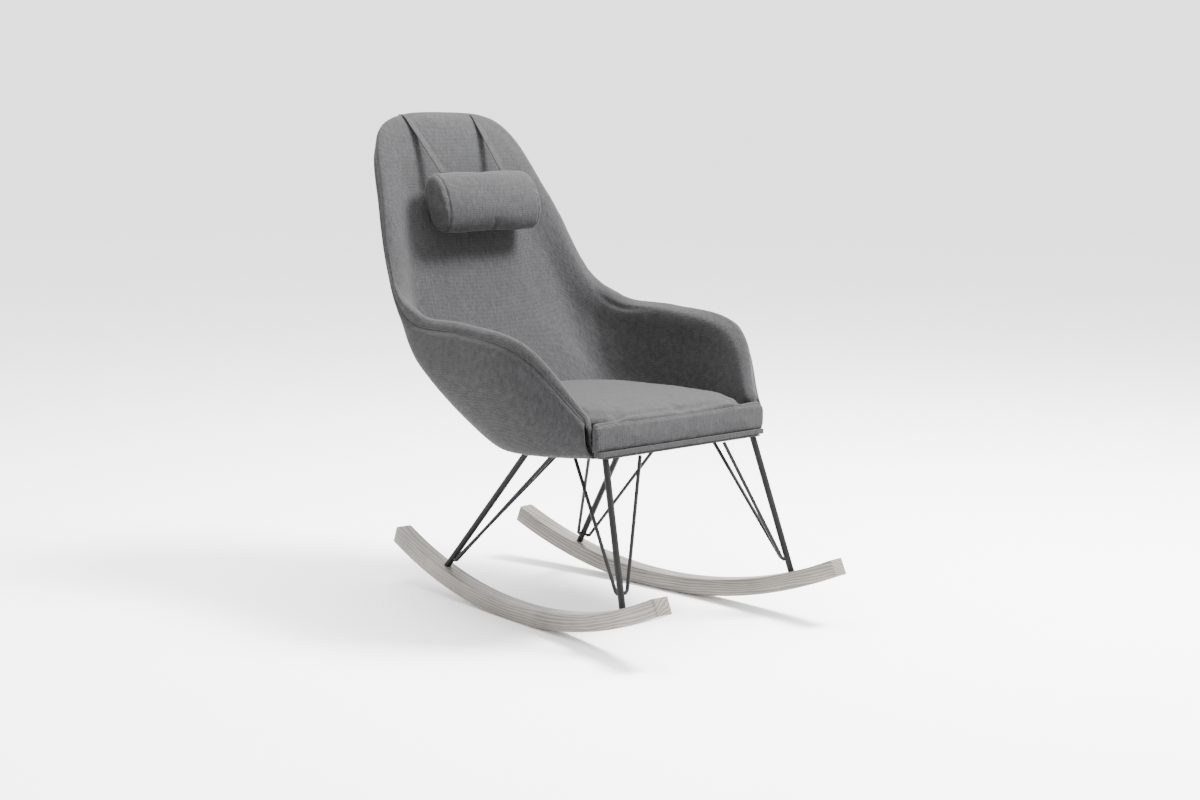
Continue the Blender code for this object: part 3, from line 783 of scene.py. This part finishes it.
@dataclass
class Stitching:
    """Lines of single stitches, each a short rounded thread."""

    pitch: float = 0.0062
    length: float = 0.0040
    thick: float = 0.0009

    def template(self) -> bpy.types.Object:
        """Model one stitch along X."""
        deselect()
        bpy.ops.mesh.primitive_ico_sphere_add(subdivisions=1, radius=0.5)
        stitch = bpy.context.object
        with editing(stitch):
            bpy.ops.transform.resize(value=(self.length, self.thick, self.thick))
        return stitch

    def sew(self, name: str, path: Sequence[Vector], lift: Callable[[Vector], Vector],
            finishes: Finishes) -> bpy.types.Object:
        """Copy the stitch along a path.

        Args:
            name: The new object's name.
            path: The seam's line.
            lift: Gives the surface's outward normal near a point.
            finishes: The finishes.

        Returns:
            All stitches of the seam as one mesh.
        """
        stitch = self.template()
        shape = [v.co.copy() for v in stitch.data.vertices]
        faces = [tuple(p.vertices) for p in stitch.data.polygons]
        verts: list[Vector] = []
        polys: list[tuple[int, ...]] = []
        spots = evenly(path, self.pitch)
        for here, ahead in zip(spots, spots[1:]):
            along = (ahead - here).normalized()
            normal = lift(here)
            across = normal.cross(along).normalized()
            normal = along.cross(across)
            start = len(verts)
            centre = here + normal * (self.thick * 0.30)
            verts += [centre + along * p.x + across * p.y + normal * p.z for p in shape]
            polys += [tuple(start + i for i in face) for face in faces]
        bpy.data.objects.remove(stitch, do_unlink=True)
        mesh = bpy.data.meshes.new(name)
        mesh.from_pydata(verts, [], polys)
        obj = bpy.data.objects.new(name, mesh)
        bpy.context.scene.collection.objects.link(obj)
        settle(obj, name)
        finishes.dress(obj, "thread")
        return obj


# ------------------------------------------------------------------ bucket shell
@dataclass
class ShellForm:
    """The bucket's form: key rows from the middle of the back round to the left arm's end."""

    ridge: Row = ((0, .524, 1.066), (.166, .504, 1.040), (.236, .408, .882), (.285, .306, .692),
                  (.298, .205, .639), (.301, .030, .632), (.302, -.168, .602), (.242, -.279, .470))
    seam: Row = ((0, .537, 1.054), (.171, .510, 1.028), (.242, .414, .874), (.292, .296, .680),
                 (.310, .205, .626), (.316, .030, .618), (.314, -.168, .588), (.248, -.285, .460))
    bulge: Row = ((0, .492, .930), (.145, .468, .905), (.220, .387, .765), (.287, .258, .612),
                  (.318, .190, .566), (.3285, .030, .555), (.324, -.140, .528), (.252, -.289, .434))
    low: Row = ((0, .394, .680), (.120, .378, .660), (.198, .329, .585), (.254, .184, .497),
                (.288, .105, .465), (.306, .000, .456), (.303, -.140, .448), (.249, -.291, .412))
    turn: Row = ((0, .212, .395), (.080, .206, .391), (.133, .150, .382), (.178, .094, .376),
                 (.222, .036, .375), (.258, -.045, .379), (.264, -.160, .385), (.241, -.292, .396))
    bottom: Row = ((0, .130, .348), (.070, .128, .349), (.125, .112, .350), (.164, .076, .353),
                   (.198, .012, .359), (.224, -.080, .367), (.236, -.180, .376), (.230, -.293, .388))
    lip: Row = ((0, .501, 1.054), (.144, .483, 1.020), (.217, .397, .868), (.266, .290, .677),
                (.278, .203, .628), (.280, .030, .623), (.281, -.162, .586), (.230, -.273, .461))
    upper: Row = ((0, .446, .950), (.115, .436, .930), (.176, .382, .790), (.232, .290, .610),
                  (.262, .185, .565), (.272, .020, .557), (.274, -.135, .535), (.231, -.269, .448))
    middle: Row = ((0, .360, .740), (.100, .353, .720), (.152, .318, .640), (.210, .243, .530),
                   (.249, .150, .506), (.264, .000, .500), (.266, -.135, .490), (.231, -.266, .436))
    lower: Row = ((0, .272, .565), (.090, .266, .555), (.145, .240, .520), (.198, .185, .470),
                  (.236, .110, .455), (.255, -.020, .450), (.258, -.140, .446), (.231, -.264, .424))
    seat: Row = ((0, .192, .430), (.080, .188, .430), (.130, .172, .428), (.177, .136, .424),
                 (.212, .070, .419), (.238, -.040, .414), (.247, -.150, .412), (.230, -.262, .410))
    columns: int = 16             # facets between two key columns
    rows: int = 12                # facets between two key rows

    def section(self, keys: Iterable[Row]) -> Sheet:
        """Smooth the named key rows into columns, from the right arm's end to the left's."""
        full = []
        for row in keys:
            mirrored = [Vector((-p[0], p[1], p[2])) for p in reversed(row[1:])]
            full.append(through([*mirrored, *[Vector(p) for p in row]], self.columns))
        return [through(column, self.rows) for column in zip(*full)]

    def outside(self) -> Sheet:
        """Columns from the rim's ridge down to the underside."""
        return self.section((self.ridge, self.seam, self.bulge, self.low, self.turn, self.bottom))

    def inside(self) -> Sheet:
        """Columns from the rim's ridge down to the seat."""
        return self.section((self.ridge, self.lip, self.upper, self.middle, self.lower, self.seat))


@dataclass
class BucketShell:
    """The upholstered bucket: an inner cover that rolls over the rim, an outer cover, and the
    thread in the sunk seam where they meet, a dark line that paints the seam's shade."""

    form: ShellForm = field(default_factory=ShellForm)
    skin: float = 0.0030          # cloth with its wadding
    proud: float = 0.0036         # height of the cloth's face above the moulded core
    groove: float = 0.0042        # depth of the seam
    groove_wide: float = 0.0065
    hem_inset: float = 0.021
    centre: Vector = field(default_factory=lambda: Vector((0.0, 0.0, 0.60)))
    sitter_side: Vector = field(default_factory=lambda: Vector((0.0, 2.0, -1.0)))

    def build(self, finishes: Finishes) -> list[bpy.types.Object]:
        """Make the two covers and the seam's thread."""
        outside = self.form.outside()
        inside = self.form.inside()
        n = self.form.rows
        rim = [[*reversed(out[:n + 1]), *inner[1:]] for out, inner in zip(outside, inside)]
        inner_cover = self._inner(self._rounded_ends(rim))
        outer_cover = self._outer([column[n:] for column in outside])
        # the seam's thread is a dark tube in the groove, which is painted shade
        pieces = [inner_cover, outer_cover, self._seam([column[0] for column in rim], finishes)]
        finishes.dress(inner_cover, "woven_fabric")
        # the outer cover gets the darker copy of the cloth, which is painted shade
        finishes.dress(outer_cover, "outer_cover_fabric")
        for piece in pieces:
            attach(piece, "chair")
        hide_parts("inner_cover", "shell_core")
        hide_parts("outer_cover")
        return pieces

    @staticmethod
    def _rounded_ends(columns: Sheet) -> Sheet:
        """Add columns at both arm ends that curl round the arm's thickness.

        Args:
            columns: The inner cover's columns.

        Returns:
            The columns with four more at each end.
        """
        def curl(column: list[Vector], beyond: float) -> list[Vector]:
            """One extra column, drawn towards the outer skin and a little forward."""
            made = []
            swell = math.sin(math.pi * beyond) * 0.0035
            for k, point in enumerate(column):
                corner = Vector((math.copysign(0.232, point.x), -0.2925, 0.390))
                out = column[0].lerp(corner, k / (len(column) - 1))
                made.append(point.lerp(out, beyond) + Vector((0, -swell, 0)))
            return made

        steps = (0.25, 0.5, 0.75, 0.97)
        start = [curl(columns[0], s) for s in reversed(steps)]
        end = [curl(columns[-1], s) for s in steps]
        return [*start, *columns, *end]

    def _inner(self, columns: Sheet) -> bpy.types.Object:
        """Lay the inner cover and work its roll, creases and puckers."""
        normals = point_normals(columns, self.sitter_side)
        count = len(columns)
        moved = []
        for c, (column, line) in enumerate(zip(columns, normals)):
            position = abs(c - (count - 1) / 2) / self.form.columns
            travelled = 0.0
            made = []
            for k, (point, normal) in enumerate(zip(column, line)):
                if k:
                    travelled += (point - column[k - 1]).length
                lift = self.proud
                lift -= self.groove * math.exp(-(travelled / self.groove_wide) ** 2)
                lift += 0.0022 * math.exp(-((travelled - 0.020) / 0.012) ** 2)
                lift += 0.0007 * ripple(point, 0.022, 3.0) * math.exp(-travelled / 0.030)
                lift += 0.0009 * ripple(point, 0.09, 1.0) + 0.0004 * ripple(point, 0.03, 2.0)
                lift += self._shoulder(position, travelled)
                made.append(point + normal * lift)
            moved.append(made)
        cover = lay_sheet("inner_cover_cloth", moved)
        return self._close(cover, "inner_cover_cloth", self.sitter_side)

    def _shoulder(self, position: float, travelled: float) -> float:
        """Extra lift where the back's roll runs into the arm's: a lens of loose cloth with a
        crease along its upper edge, and a soft fold down the inside of the corner.

        Args:
            position: Key column, 0 at the back's middle and 7 at the arm's end.
            travelled: Distance from the seam along the cloth.

        Returns:
            The lift in metres.
        """
        lens = math.exp(-((position - 3.75) / 0.42) ** 2 - ((travelled - 0.024) / 0.015) ** 2)
        crease = math.exp(-((position - 4.05) / 0.55) ** 2 - ((travelled - 0.046) / 0.0055) ** 2)
        past_roll = min(1.0, max(0.0, travelled - 0.04) / 0.05)
        fold = math.exp(-((position - 3.55) / 0.16) ** 2) * past_roll
        return 0.0055 * lens - 0.0036 * crease - 0.0022 * fold

    def _outer(self, columns: Sheet) -> bpy.types.Object:
        """Lay the outer cover, pulled under the seat to a hem beside the seat board."""
        normals = point_normals(columns, self.centre)
        moved = []
        for column, line in zip(columns, normals):
            travelled = 0.0
            made = []
            length = sum((b - a).length for a, b in zip(column, column[1:]))
            for k, (point, normal) in enumerate(zip(column, line)):
                if k:
                    travelled += (point - column[k - 1]).length
                lift = self.proud
                lift -= self.groove * math.exp(-(travelled / self.groove_wide) ** 2)
                lift += 0.0018 * math.exp(-((travelled - 0.016) / 0.009) ** 2)
                lift += 0.0010 * ripple(point, 0.11, 5.0) + 0.0004 * ripple(point, 0.035, 6.0)
                near_hem = math.exp(-((length - travelled) / 0.030))
                lift += 0.0016 * ripple(Vector((point.x, point.y, 0)), 0.018, 7.0) * near_hem
                made.append(point + normal * lift)
            for inset, up in ((0.006, -0.0022), (0.013, -0.0012), (self.hem_inset, 0.0004),
                              (self.hem_inset + 0.0008, 0.010)):
                plan = self._inward(column[-1], inset)
                made.append(Vector((plan.x, plan.y, underside(plan.y) + up)))
            moved.append(made)
        cover = lay_sheet("outer_cover_cloth", moved)
        return self._close(cover, "outer_cover_cloth", self.centre)

    @staticmethod
    def _inward(point: Vector, distance: float) -> Vector:
        """Move a point towards the seat's centre, seen from above."""
        plan = Vector((point.x, point.y))
        return plan + (Vector((0.0, -0.08)) - plan).normalized() * distance

    def _close(self, cover: bpy.types.Object, name: str, away_from: Vector) -> bpy.types.Object:
        """Turn the cloth's face out and give it its thickness."""
        votes = sum(1 if p.normal.dot(p.center - away_from) > 0 else -1
                    for p in cover.data.polygons)
        if votes < 0:
            flip(cover)
        apply_modifier(cover, "SOLIDIFY", thickness=self.skin, offset=-1.0)
        return settle(cover, name)

    def _seam(self, path: list[Vector], finishes: Finishes) -> bpy.types.Object:
        """The thin dark thread that lies in the seam: a dark line that paints the shade in the
        seam's groove.
        """
        height = self.proud - self.groove + 0.0004
        line = [point + (point - self.centre).normalized() * height for point in path]
        thread = tube_along("rim_seam_thread", line, 0.0010)
        finishes.dress(thread, "thread")
        return thread


def underside(y: float) -> float:
    """Height of the seat's underside plane at a distance along the chair."""
    return 0.388 - 0.09 * (y + 0.31)


# ------------------------------------------------------------------ seat
@dataclass
class SeatPad:
    """The seat cushion with its padded front: one filled pad with a stitched seam across it."""

    padding: Padding = field(default_factory=lambda: Padding(reach=(0.0030, 0.0045, 0.0100)))
    seam_y: float = -0.3075
    seam_half: float = 0.236
    seam_points: int = 95
    groove: float = 0.0034
    groove_wide: float = 0.0042

    def build(self, finishes: Finishes) -> list[bpy.types.Object]:
        """Fill the pad, sink its seam and sew the stitches."""
        pad = copy_of("seat_cushion", "front_band")
        self._bridge(pad)
        self.padding.fill(pad)
        self._work(pad, self._seam_line(pad))
        settle(pad, "seat_pad")
        finishes.dress(pad, "woven_fabric")
        seam = self._seam_line(pad)
        stitches = Stitching(pitch=0.0068).sew(
            "seat_front_stitches", [p + Vector((0, -0.0035, -0.0025)) for p in seam],
            lambda p: Vector((0, -0.75, 0.66)), finishes)
        # a continuous dark thread along the seam: painted shade of the seam's groove
        line = tube_along("seat_front_seam", [p + Vector((0, 0, 0.0002)) for p in seam], 0.0009)
        finishes.dress(line, "thread")
        pieces = [pad, stitches, line, self._hem(finishes)]
        for piece in pieces:
            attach(piece, "chair")
        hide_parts("seat_cushion", "front_band")
        return pieces

    @staticmethod
    def _hem(finishes: Finishes) -> bpy.types.Object:
        """The cloth's turned hem, which fills the gap between the band and the front rail."""
        hem = block((0.0, -0.3085, 0.3945), (0.470, 0.0215, 0.0110))
        with editing(hem):
            bpy.ops.mesh.subdivide(number_cuts=24)
        apply_modifier(hem, "BEVEL", width=0.004, segments=4, limit_method="ANGLE",
                       angle_limit=CREASE)
        lift_points(hem, lambda p: 0.0004 * ripple(p, 0.019, 8.0))
        settle(hem, "seat_front_hem")
        finishes.dress(hem, "woven_fabric")
        return hem

    @staticmethod
    def _bridge(pad: bpy.types.Object) -> None:
        """Add a block across the joint of the two solids, so that they fill as one."""
        bridge = block((0.0, -0.298, 0.424), (0.400, 0.030, 0.050))
        activate(pad)
        bridge.select_set(True)
        bpy.ops.object.join()

    def _seam_line(self, pad: bpy.types.Object) -> list[Vector]:
        """The seam's points on the pad's top front edge, from one side to the other."""
        tree = surface_of(pad)
        made = []
        aim = Vector((0, 1, -1)).normalized()
        for k in range(self.seam_points):
            x = self.seam_half * (2 * k / (self.seam_points - 1) - 1)
            start = Vector((x, self.seam_y - 0.12, 0.452 + 0.12))
            hit = tree.ray_cast(start, aim)[0]
            if hit:
                made.append(hit)
        return made

    def _work(self, pad: bpy.types.Object, seam: list[Vector]) -> None:
        """Sink the seam and gather the cloth a little along it and along the bottom edge."""
        def height(p: Vector) -> float:
            """How far the cloth rises or sinks at a place."""
            if p.y < -0.27 and p.z > 0.425:
                share = (p.x + self.seam_half) / (2 * self.seam_half)
                spot = seam[max(0, min(len(seam) - 1, round(share * (len(seam) - 1))))]
                distance = math.hypot(p.y - spot.y, p.z - spot.z)
                sunk = self.groove * math.exp(-(distance / self.groove_wide) ** 2)
                gather = 0.0006 * ripple(Vector((p.x, 0, 0)), 0.012, 4.0)
                return gather * math.exp(-(distance / 0.016) ** 2) - sunk
            if p.y < -0.29 and p.z < 0.412:
                pull = math.exp(-((p.z - 0.389) / 0.014) ** 2)
                return 0.0030 * ripple(Vector((p.x, 0, p.z)), 0.019, 8.0) * pull
            return 0.0011 * ripple(p, 0.10, 9.0) if p.z > 0.45 else 0.0

        lift_points(pad, height)


# ------------------------------------------------------------------ headrest
@dataclass
class Headrest:
    """The bolster on its two straps, and the small bag that balances it behind the back."""

    padding: Padding = field(default_factory=lambda: Padding(voxel=0.004, shrink=0.003,
                                                             reach=(0.004, 0.006, 0.006)))
    ring_x: float = 0.1290        # where the bolster's end seams lie
    bag_ring_x: float = 0.110     # where the bag's end seams lie
    ring_points: int = 72
    groove: float = 0.0030
    groove_wide: float = 0.0035

    def build(self, finishes: Finishes) -> list[bpy.types.Object]:
        """Fill the bolster and the bag, and sew their end seams."""
        bolster = self._filled("headrest_cushion", "headrest_bolster", self.ring_x)
        finishes.dress(bolster, "woven_fabric")
        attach(bolster, "headrest")
        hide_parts("headrest_cushion")
        seams = [self._end_seam(bolster, side, finishes) for side in Side]
        bag = self._filled("counterweight_bag", "balance_bag", self.bag_ring_x)
        finishes.dress(bag, "woven_fabric")
        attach(bag, "counterweight")
        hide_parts("counterweight_bag")
        return [bolster, *seams, bag]

    def _filled(self, node: str, name: str, ring_x: float) -> bpy.types.Object:
        """Fill one pad and draw in its end seams."""
        low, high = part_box(node)
        middle = (low + high) / 2
        pad = copy_of(node)
        self.padding.fill(pad)

        def height(p: Vector) -> float:
            """How far the cloth rises or sinks at a place."""
            off = abs(abs(p.x) - ring_x)
            around = p - Vector((p.x, middle.y, middle.z))
            if around.length <= 0.012:
                return 0.0
            sunk = self.groove * math.exp(-(off / self.groove_wide) ** 2)
            pucker = 0.0011 * ripple(around.normalized() * 0.1, 0.022, 11.0)
            return pucker * math.exp(-(off / 0.012) ** 2) - sunk + 0.0008 * ripple(p, 0.05, 12.0)

        lift_points(pad, height)
        return settle(pad, name)

    def _end_seam(self, bolster: bpy.types.Object, side: Side,
                  finishes: Finishes) -> bpy.types.Object:
        """The thread in the seam round one end panel: a dark line that paints the seam's shade."""
        low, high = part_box("headrest_cushion")
        middle = (low + high) / 2
        tree = surface_of(bolster)
        ring = []
        for k in range(self.ring_points):
            angle = 2 * math.pi * k / self.ring_points
            aim = Vector((0, math.cos(angle), math.sin(angle)))
            start = Vector((side.value * self.ring_x, middle.y, middle.z)) + aim * 0.3
            hit = tree.ray_cast(start, -aim)[0]
            if hit:
                ring.append(hit)
        line = tube_along(f"headrest_seam_{side.label}", ring, 0.0011, closed=True)
        finishes.dress(line, "thread")
        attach(line, "headrest")
        return line


@dataclass
class Straps:
    """Two flat straps with two rows of stitches each, over the top edge of the back."""

    form: ShellForm = field(default_factory=ShellForm)
    top_x: float = 0.098
    low_x: float = 0.087
    half_wide: float = 0.0080
    thick: float = 0.0024
    lift: float = 0.0068
    stitch_in: float = 0.0056

    def build(self, finishes: Finishes) -> list[bpy.types.Object]:
        """Make the front and rear part of each strap, which meet on the ridge."""
        route, crest = self._route()
        pieces = []
        for side in Side:
            parts = (("front", route[crest:], "headrest"),
                     ("rear", route[crest::-1], "counterweight"))
            for part, line, follows in parts:
                tape = self._tape(f"strap_{part}_{side.label}", side, line, part == "front")
                finishes.dress(tape, "woven_fabric")
                rows = [tape]
                for edge in (-1, 1):
                    rows.append(self._stitches(part, side, edge, line, finishes))
                for piece in rows:
                    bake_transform(piece)
                if part == "front":
                    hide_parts(f"strap_{side.label}")
                pieces += rows
        return pieces

    def _route(self) -> tuple[list[Vector], int]:
        """The strap's middle line in Y and Z from the bag to the bolster, and its crest."""
        n = self.form.rows
        rear = self._section(self.form.outside(), 3 * n)
        front = self._section(self.form.inside(), n + 1)
        line = [*reversed(rear), *front[1:]]
        raised = []
        for before, here, after in zip(line, line[1:], line[2:]):
            along = (after - before).normalized()
            raised.append(here + Vector((along.y, -along.x)) * self.lift)
        slide = Vector((0.379, 0.9254))
        forward = Vector((-0.9254, 0.379))
        low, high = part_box("counterweight_bag")
        bag_top = Vector(((low.y + high.y) / 2 + 0.012, high.z - 0.006))
        low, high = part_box("headrest_cushion")
        pad_middle = ((low + high) / 2).yz
        pad_top = pad_middle + slide * 0.074 - forward * 0.006
        raised = [p for p in raised if p.y > bag_top.y + 0.02]
        line = [bag_top, *raised[::4], pad_top]
        smooth = [p.xy for p in through([Vector((p.x, p.y, 0)) for p in line], 4)]
        crest = max(range(len(smooth)), key=lambda i: smooth[i].y)
        return smooth, crest

    def _section(self, columns: Sheet, count: int) -> list[Vector]:
        """Cross the columns with the plane of the strap."""
        points = []
        for k in range(count):
            for a, b in zip(columns, columns[1:]):
                if a[k].x <= self.top_x < b[k].x:
                    share = (self.top_x - a[k].x) / (b[k].x - a[k].x)
                    points.append(a[k].lerp(b[k], share).yz)
                    break
        return points

    def _centre(self, side: Side, line: list[Vector], i: int, leans: bool) -> Vector:
        """A point of the strap's middle line; the front part leans inwards as it falls."""
        x = self.top_x
        if leans:
            share = (line[0].y - line[i].y) / (line[0].y - line[-1].y)
            x += (self.low_x - self.top_x) * share
        return Vector((side.value * x, line[i].x, line[i].y))

    @staticmethod
    def _outward(line: list[Vector], i: int, front: bool) -> Vector:
        """The strap's outward normal at a point of its line."""
        before = line[max(i - 1, 0)]
        after = line[min(i + 1, len(line) - 1)]
        along = (after - before).normalized()
        turned = Vector((0, along.y, -along.x))
        return turned if front else -turned

    def _tape(self, name: str, side: Side, line: list[Vector], front: bool) -> bpy.types.Object:
        """One flat tape with soft edges, slightly hollow along its stitches."""
        rows = []
        for i in range(len(line)):
            middle = self._centre(side, line, i, front)
            normal = self._outward(line, i, front)
            row = []
            for k in range(13):
                across = (k / 6 - 1) * self.half_wide
                sunk = 0.0006 * math.exp(-((abs(across) - self.stitch_in) / 0.0012) ** 2)
                row.append(middle + Vector((across, 0, 0)) + normal * (self.thick / 2 - sunk))
            rows.append(row)
        tape = lay_sheet(name, rows)
        facing = sum(p.normal.dot(self._outward(line, len(line) // 2, front))
                     for p in tape.data.polygons)
        if facing < 0:
            flip(tape)
        apply_modifier(tape, "SOLIDIFY", thickness=self.thick, offset=-1.0)
        apply_modifier(tape, "BEVEL", width=0.0008, segments=2, limit_method="ANGLE",
                       angle_limit=CREASE)
        return settle(tape, name, 60)

    def _stitches(self, part: str, side: Side, edge: int, line: list[Vector],
                  finishes: Finishes) -> bpy.types.Object:
        """One row of stitches along a strap's edge."""
        front = part == "front"
        path = []
        for i in range(len(line)):
            normal = self._outward(line, i, front)
            path.append(self._centre(side, line, i, front) + Vector((edge * self.stitch_in, 0, 0))
                        + normal * (self.thick / 2 - 0.0006))
        normals = [self._outward(line, i, front) for i in range(len(line))]

        def lift(point: Vector) -> Vector:
            """The normal of the nearest point of the path."""
            nearest = min(range(len(path)), key=lambda i: (path[i] - point).length_squared)
            return normals[nearest]

        where = "inner" if edge * side.value < 0 else "outer"
        return Stitching(pitch=0.0052, length=0.0034, thick=0.0008).sew(
            f"strap_stitches_{part}_{where}_{side.label}", path, lift, finishes)


# ------------------------------------------------------------------ rockers
@dataclass
class Rocker:
    """One bent wooden runner: a square bar swept along an arc, with softened edges and ends."""

    side: Side
    radius: float = 1.21
    thick: float = 0.0365
    wide: float = 0.041
    low: Vector = field(default_factory=lambda: Vector((0.2176, -0.0274, 0.0)))
    toe: float = 0.076
    first: float = -(12.5 * 0.0408 + 0.011) / 1.21
    last: float = (11.5 * 0.0408 + 0.011) / 1.21
    steps: int = 84
    end_round: float = 0.010
    edge_round: float = 0.0028

    def build(self, finishes: Finishes) -> bpy.types.Object:
        """Sweep, soften, mark the grain and place the runner."""
        runner = self._sweep()
        self._soften(runner)
        self._mark_grain(runner)
        place = Matrix.Translation((self.side.value * self.low.x, self.low.y, 0))
        runner.matrix_world = place @ Matrix.Rotation(self.side.value * self.toe, 4, "Z")
        settle(runner, f"runner_{self.side.label}", 40)
        finishes.dress(runner, "ash_wood")
        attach(runner, "chair")
        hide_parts(f"rocker_{self.side.label}")
        return runner

    def _sweep(self) -> bpy.types.Object:
        """Spin the runner's cross-section about the arc's centre."""
        deselect()
        start = Matrix.Rotation(self.first, 3, "X")
        middle = start @ Vector((0, 0, -(self.radius - self.thick / 2)))
        bpy.ops.mesh.primitive_plane_add(size=1.0, location=(0, 0, 0))
        runner = bpy.context.object
        corners = []
        for vert in runner.data.vertices:
            flat = Vector((vert.co.x * self.wide, 0, vert.co.y * self.thick))
            corners.append(middle + start @ flat + Vector((0, 0, self.radius)))
        for vert, corner in zip(runner.data.vertices, corners):
            vert.co = corner
        with editing(runner):
            bpy.ops.mesh.spin(steps=self.steps, angle=self.last - self.first,
                              center=(0, 0, self.radius), axis=(-1, 0, 0))
        self._close_ends(runner)
        outward(runner)
        return runner

    @staticmethod
    def _close_ends(runner: bpy.types.Object) -> None:
        """Fill an end that the spin has left open."""
        with editing(runner):
            bpy.ops.mesh.select_mode(type="EDGE")
            bpy.ops.mesh.select_all(action="DESELECT")
            bpy.ops.mesh.select_non_manifold()
            bpy.ops.mesh.edge_face_add()
            bpy.ops.mesh.select_mode(type="VERT")

    def _soften(self, runner: bpy.types.Object) -> None:
        """Round the ends' upright edges well and every other edge a little."""
        mesh = runner.data
        weight = mesh.attributes.new("bevel_weight_edge", "FLOAT", "EDGE")
        for edge in mesh.edges:
            a, b = (mesh.vertices[i].co for i in edge.vertices)
            upright = abs(a.x - b.x) < 1e-6 and abs((a - b).length - self.thick) < 1e-4
            weight.data[edge.index].value = 1.0 if upright else 0.0
        apply_modifier(runner, "BEVEL", width=self.end_round, segments=5, limit_method="WEIGHT")
        apply_modifier(runner, "BEVEL", width=self.edge_round, segments=3, limit_method="ANGLE",
                       angle_limit=CREASE)

    def _mark_grain(self, runner: bpy.types.Object) -> None:
        """Store each point's place along, across and up the bent wood for the grain."""
        grain = runner.data.attributes.new("grain", "FLOAT_VECTOR", "POINT")
        for vert in runner.data.vertices:
            rise = self.radius - vert.co.z
            along = math.atan2(vert.co.y, rise) * self.radius
            up = self.radius - math.hypot(vert.co.y, rise)
            across = vert.co.x * self.side.value + 0.3 * self.side.value
            grain.data[vert.index].vector = (along + 0.4 * self.side.value, across, up)


@dataclass
class Runners:
    """Both runners."""

    def build(self, finishes: Finishes) -> list[bpy.types.Object]:
        """Make the left and the right runner."""
        return [Rocker(side).build(finishes) for side in Side]


# ------------------------------------------------------------------ carried-over steel and board
@dataclass
class Undercarriage:
    """The legs, rails, bolts and boards that keep their CAD shapes."""

    def build(self, finishes: Finishes) -> list[bpy.types.Object]:
        """Dress every carried-over node in its record's finish."""
        slots = {entry["node"]: entry["material_slot"] for entry in frame["record"]["subparts"]}
        kept = []
        for name, node in frame["nodes"].items():
            if node.hide_render or slots[name] not in finishes.made:
                continue
            node.data.materials.clear()
            node.data.materials.append(finishes.made[slots[name]])
            kept.append(node)
        return kept


# ------------------------------------------------------------------ studio
@dataclass
class Studio:
    """A plain pale floor, soft lights and the camera."""

    camera_at: tuple[float, float, float] = (-2.96178, -3.38243, 1.11477)
    heading: float = -41.65       # degrees from the view along +Y
    dip: float = 8.41             # degrees below level
    lens: float = 62.21
    sky: float = 2.4              # strength of the white surroundings

    def build(self, finishes: Finishes) -> None:
        """Make the floor, the lights and the camera."""
        deselect()
        bpy.ops.mesh.primitive_plane_add(size=160.0, location=(0, 0, 0))
        floor = bpy.context.object
        settle(floor, "studio_floor")
        floor.data.materials.append(finishes.made["floor"])
        self._light("key_softbox", (1.6, -1.3, 3.6), (0.0, 0.0, 0.6), 1.2, 800.0)
        self._light("top_softbox", (0.3, 0.6, 3.6), (0.0, 0.0, 0.5), 2.4, 260.0)
        world = bpy.data.worlds.new("studio_world")
        bpy.context.scene.world = world
        world.use_nodes = True
        surroundings = world.node_tree.nodes["Background"].inputs
        surroundings["Color"].default_value = linear("#ffffff")
        surroundings["Strength"].default_value = self.sky
        bpy.ops.object.camera_add(location=self.camera_at)
        camera = bpy.context.object
        camera.name = "camera"
        camera.rotation_euler = (math.radians(90 - self.dip), 0.0, math.radians(self.heading))
        camera.data.lens = self.lens
        camera.data.sensor_width = 36.0
        bpy.context.scene.camera = camera

    @staticmethod
    def _light(name: str, place: tuple[float, float, float], aim: tuple[float, float, float],
               size: float, power: float) -> None:
        """Add one square area light that points at a spot."""
        bpy.ops.object.light_add(type="AREA", location=place)
        lamp = bpy.context.object
        lamp.name = name
        lamp.data.size = size
        lamp.data.energy = power
        lamp.rotation_euler = (Vector(aim) - Vector(place)).to_track_quat("-Z", "Y").to_euler()


def main() -> None:
    """Build every sub-assembly in order and report each piece."""
    logging.basicConfig(level=logging.INFO, format="%(message)s")
    finishes = Finishes()
    finishes.build()
    built: list[bpy.types.Object] = []
    for assembly in (BucketShell(), SeatPad(), Headrest(), Straps(), Runners(), Undercarriage()):
        made = assembly.build(finishes)
        built += made
        LOG.info("%s: %s", type(assembly).__name__, ", ".join(piece.name for piece in made))
    Studio().build(finishes)
    for piece in built:
        LOG.info("%s has %d faces", piece.name, len(piece.data.polygons))


if __name__ == "__main__":
    main()
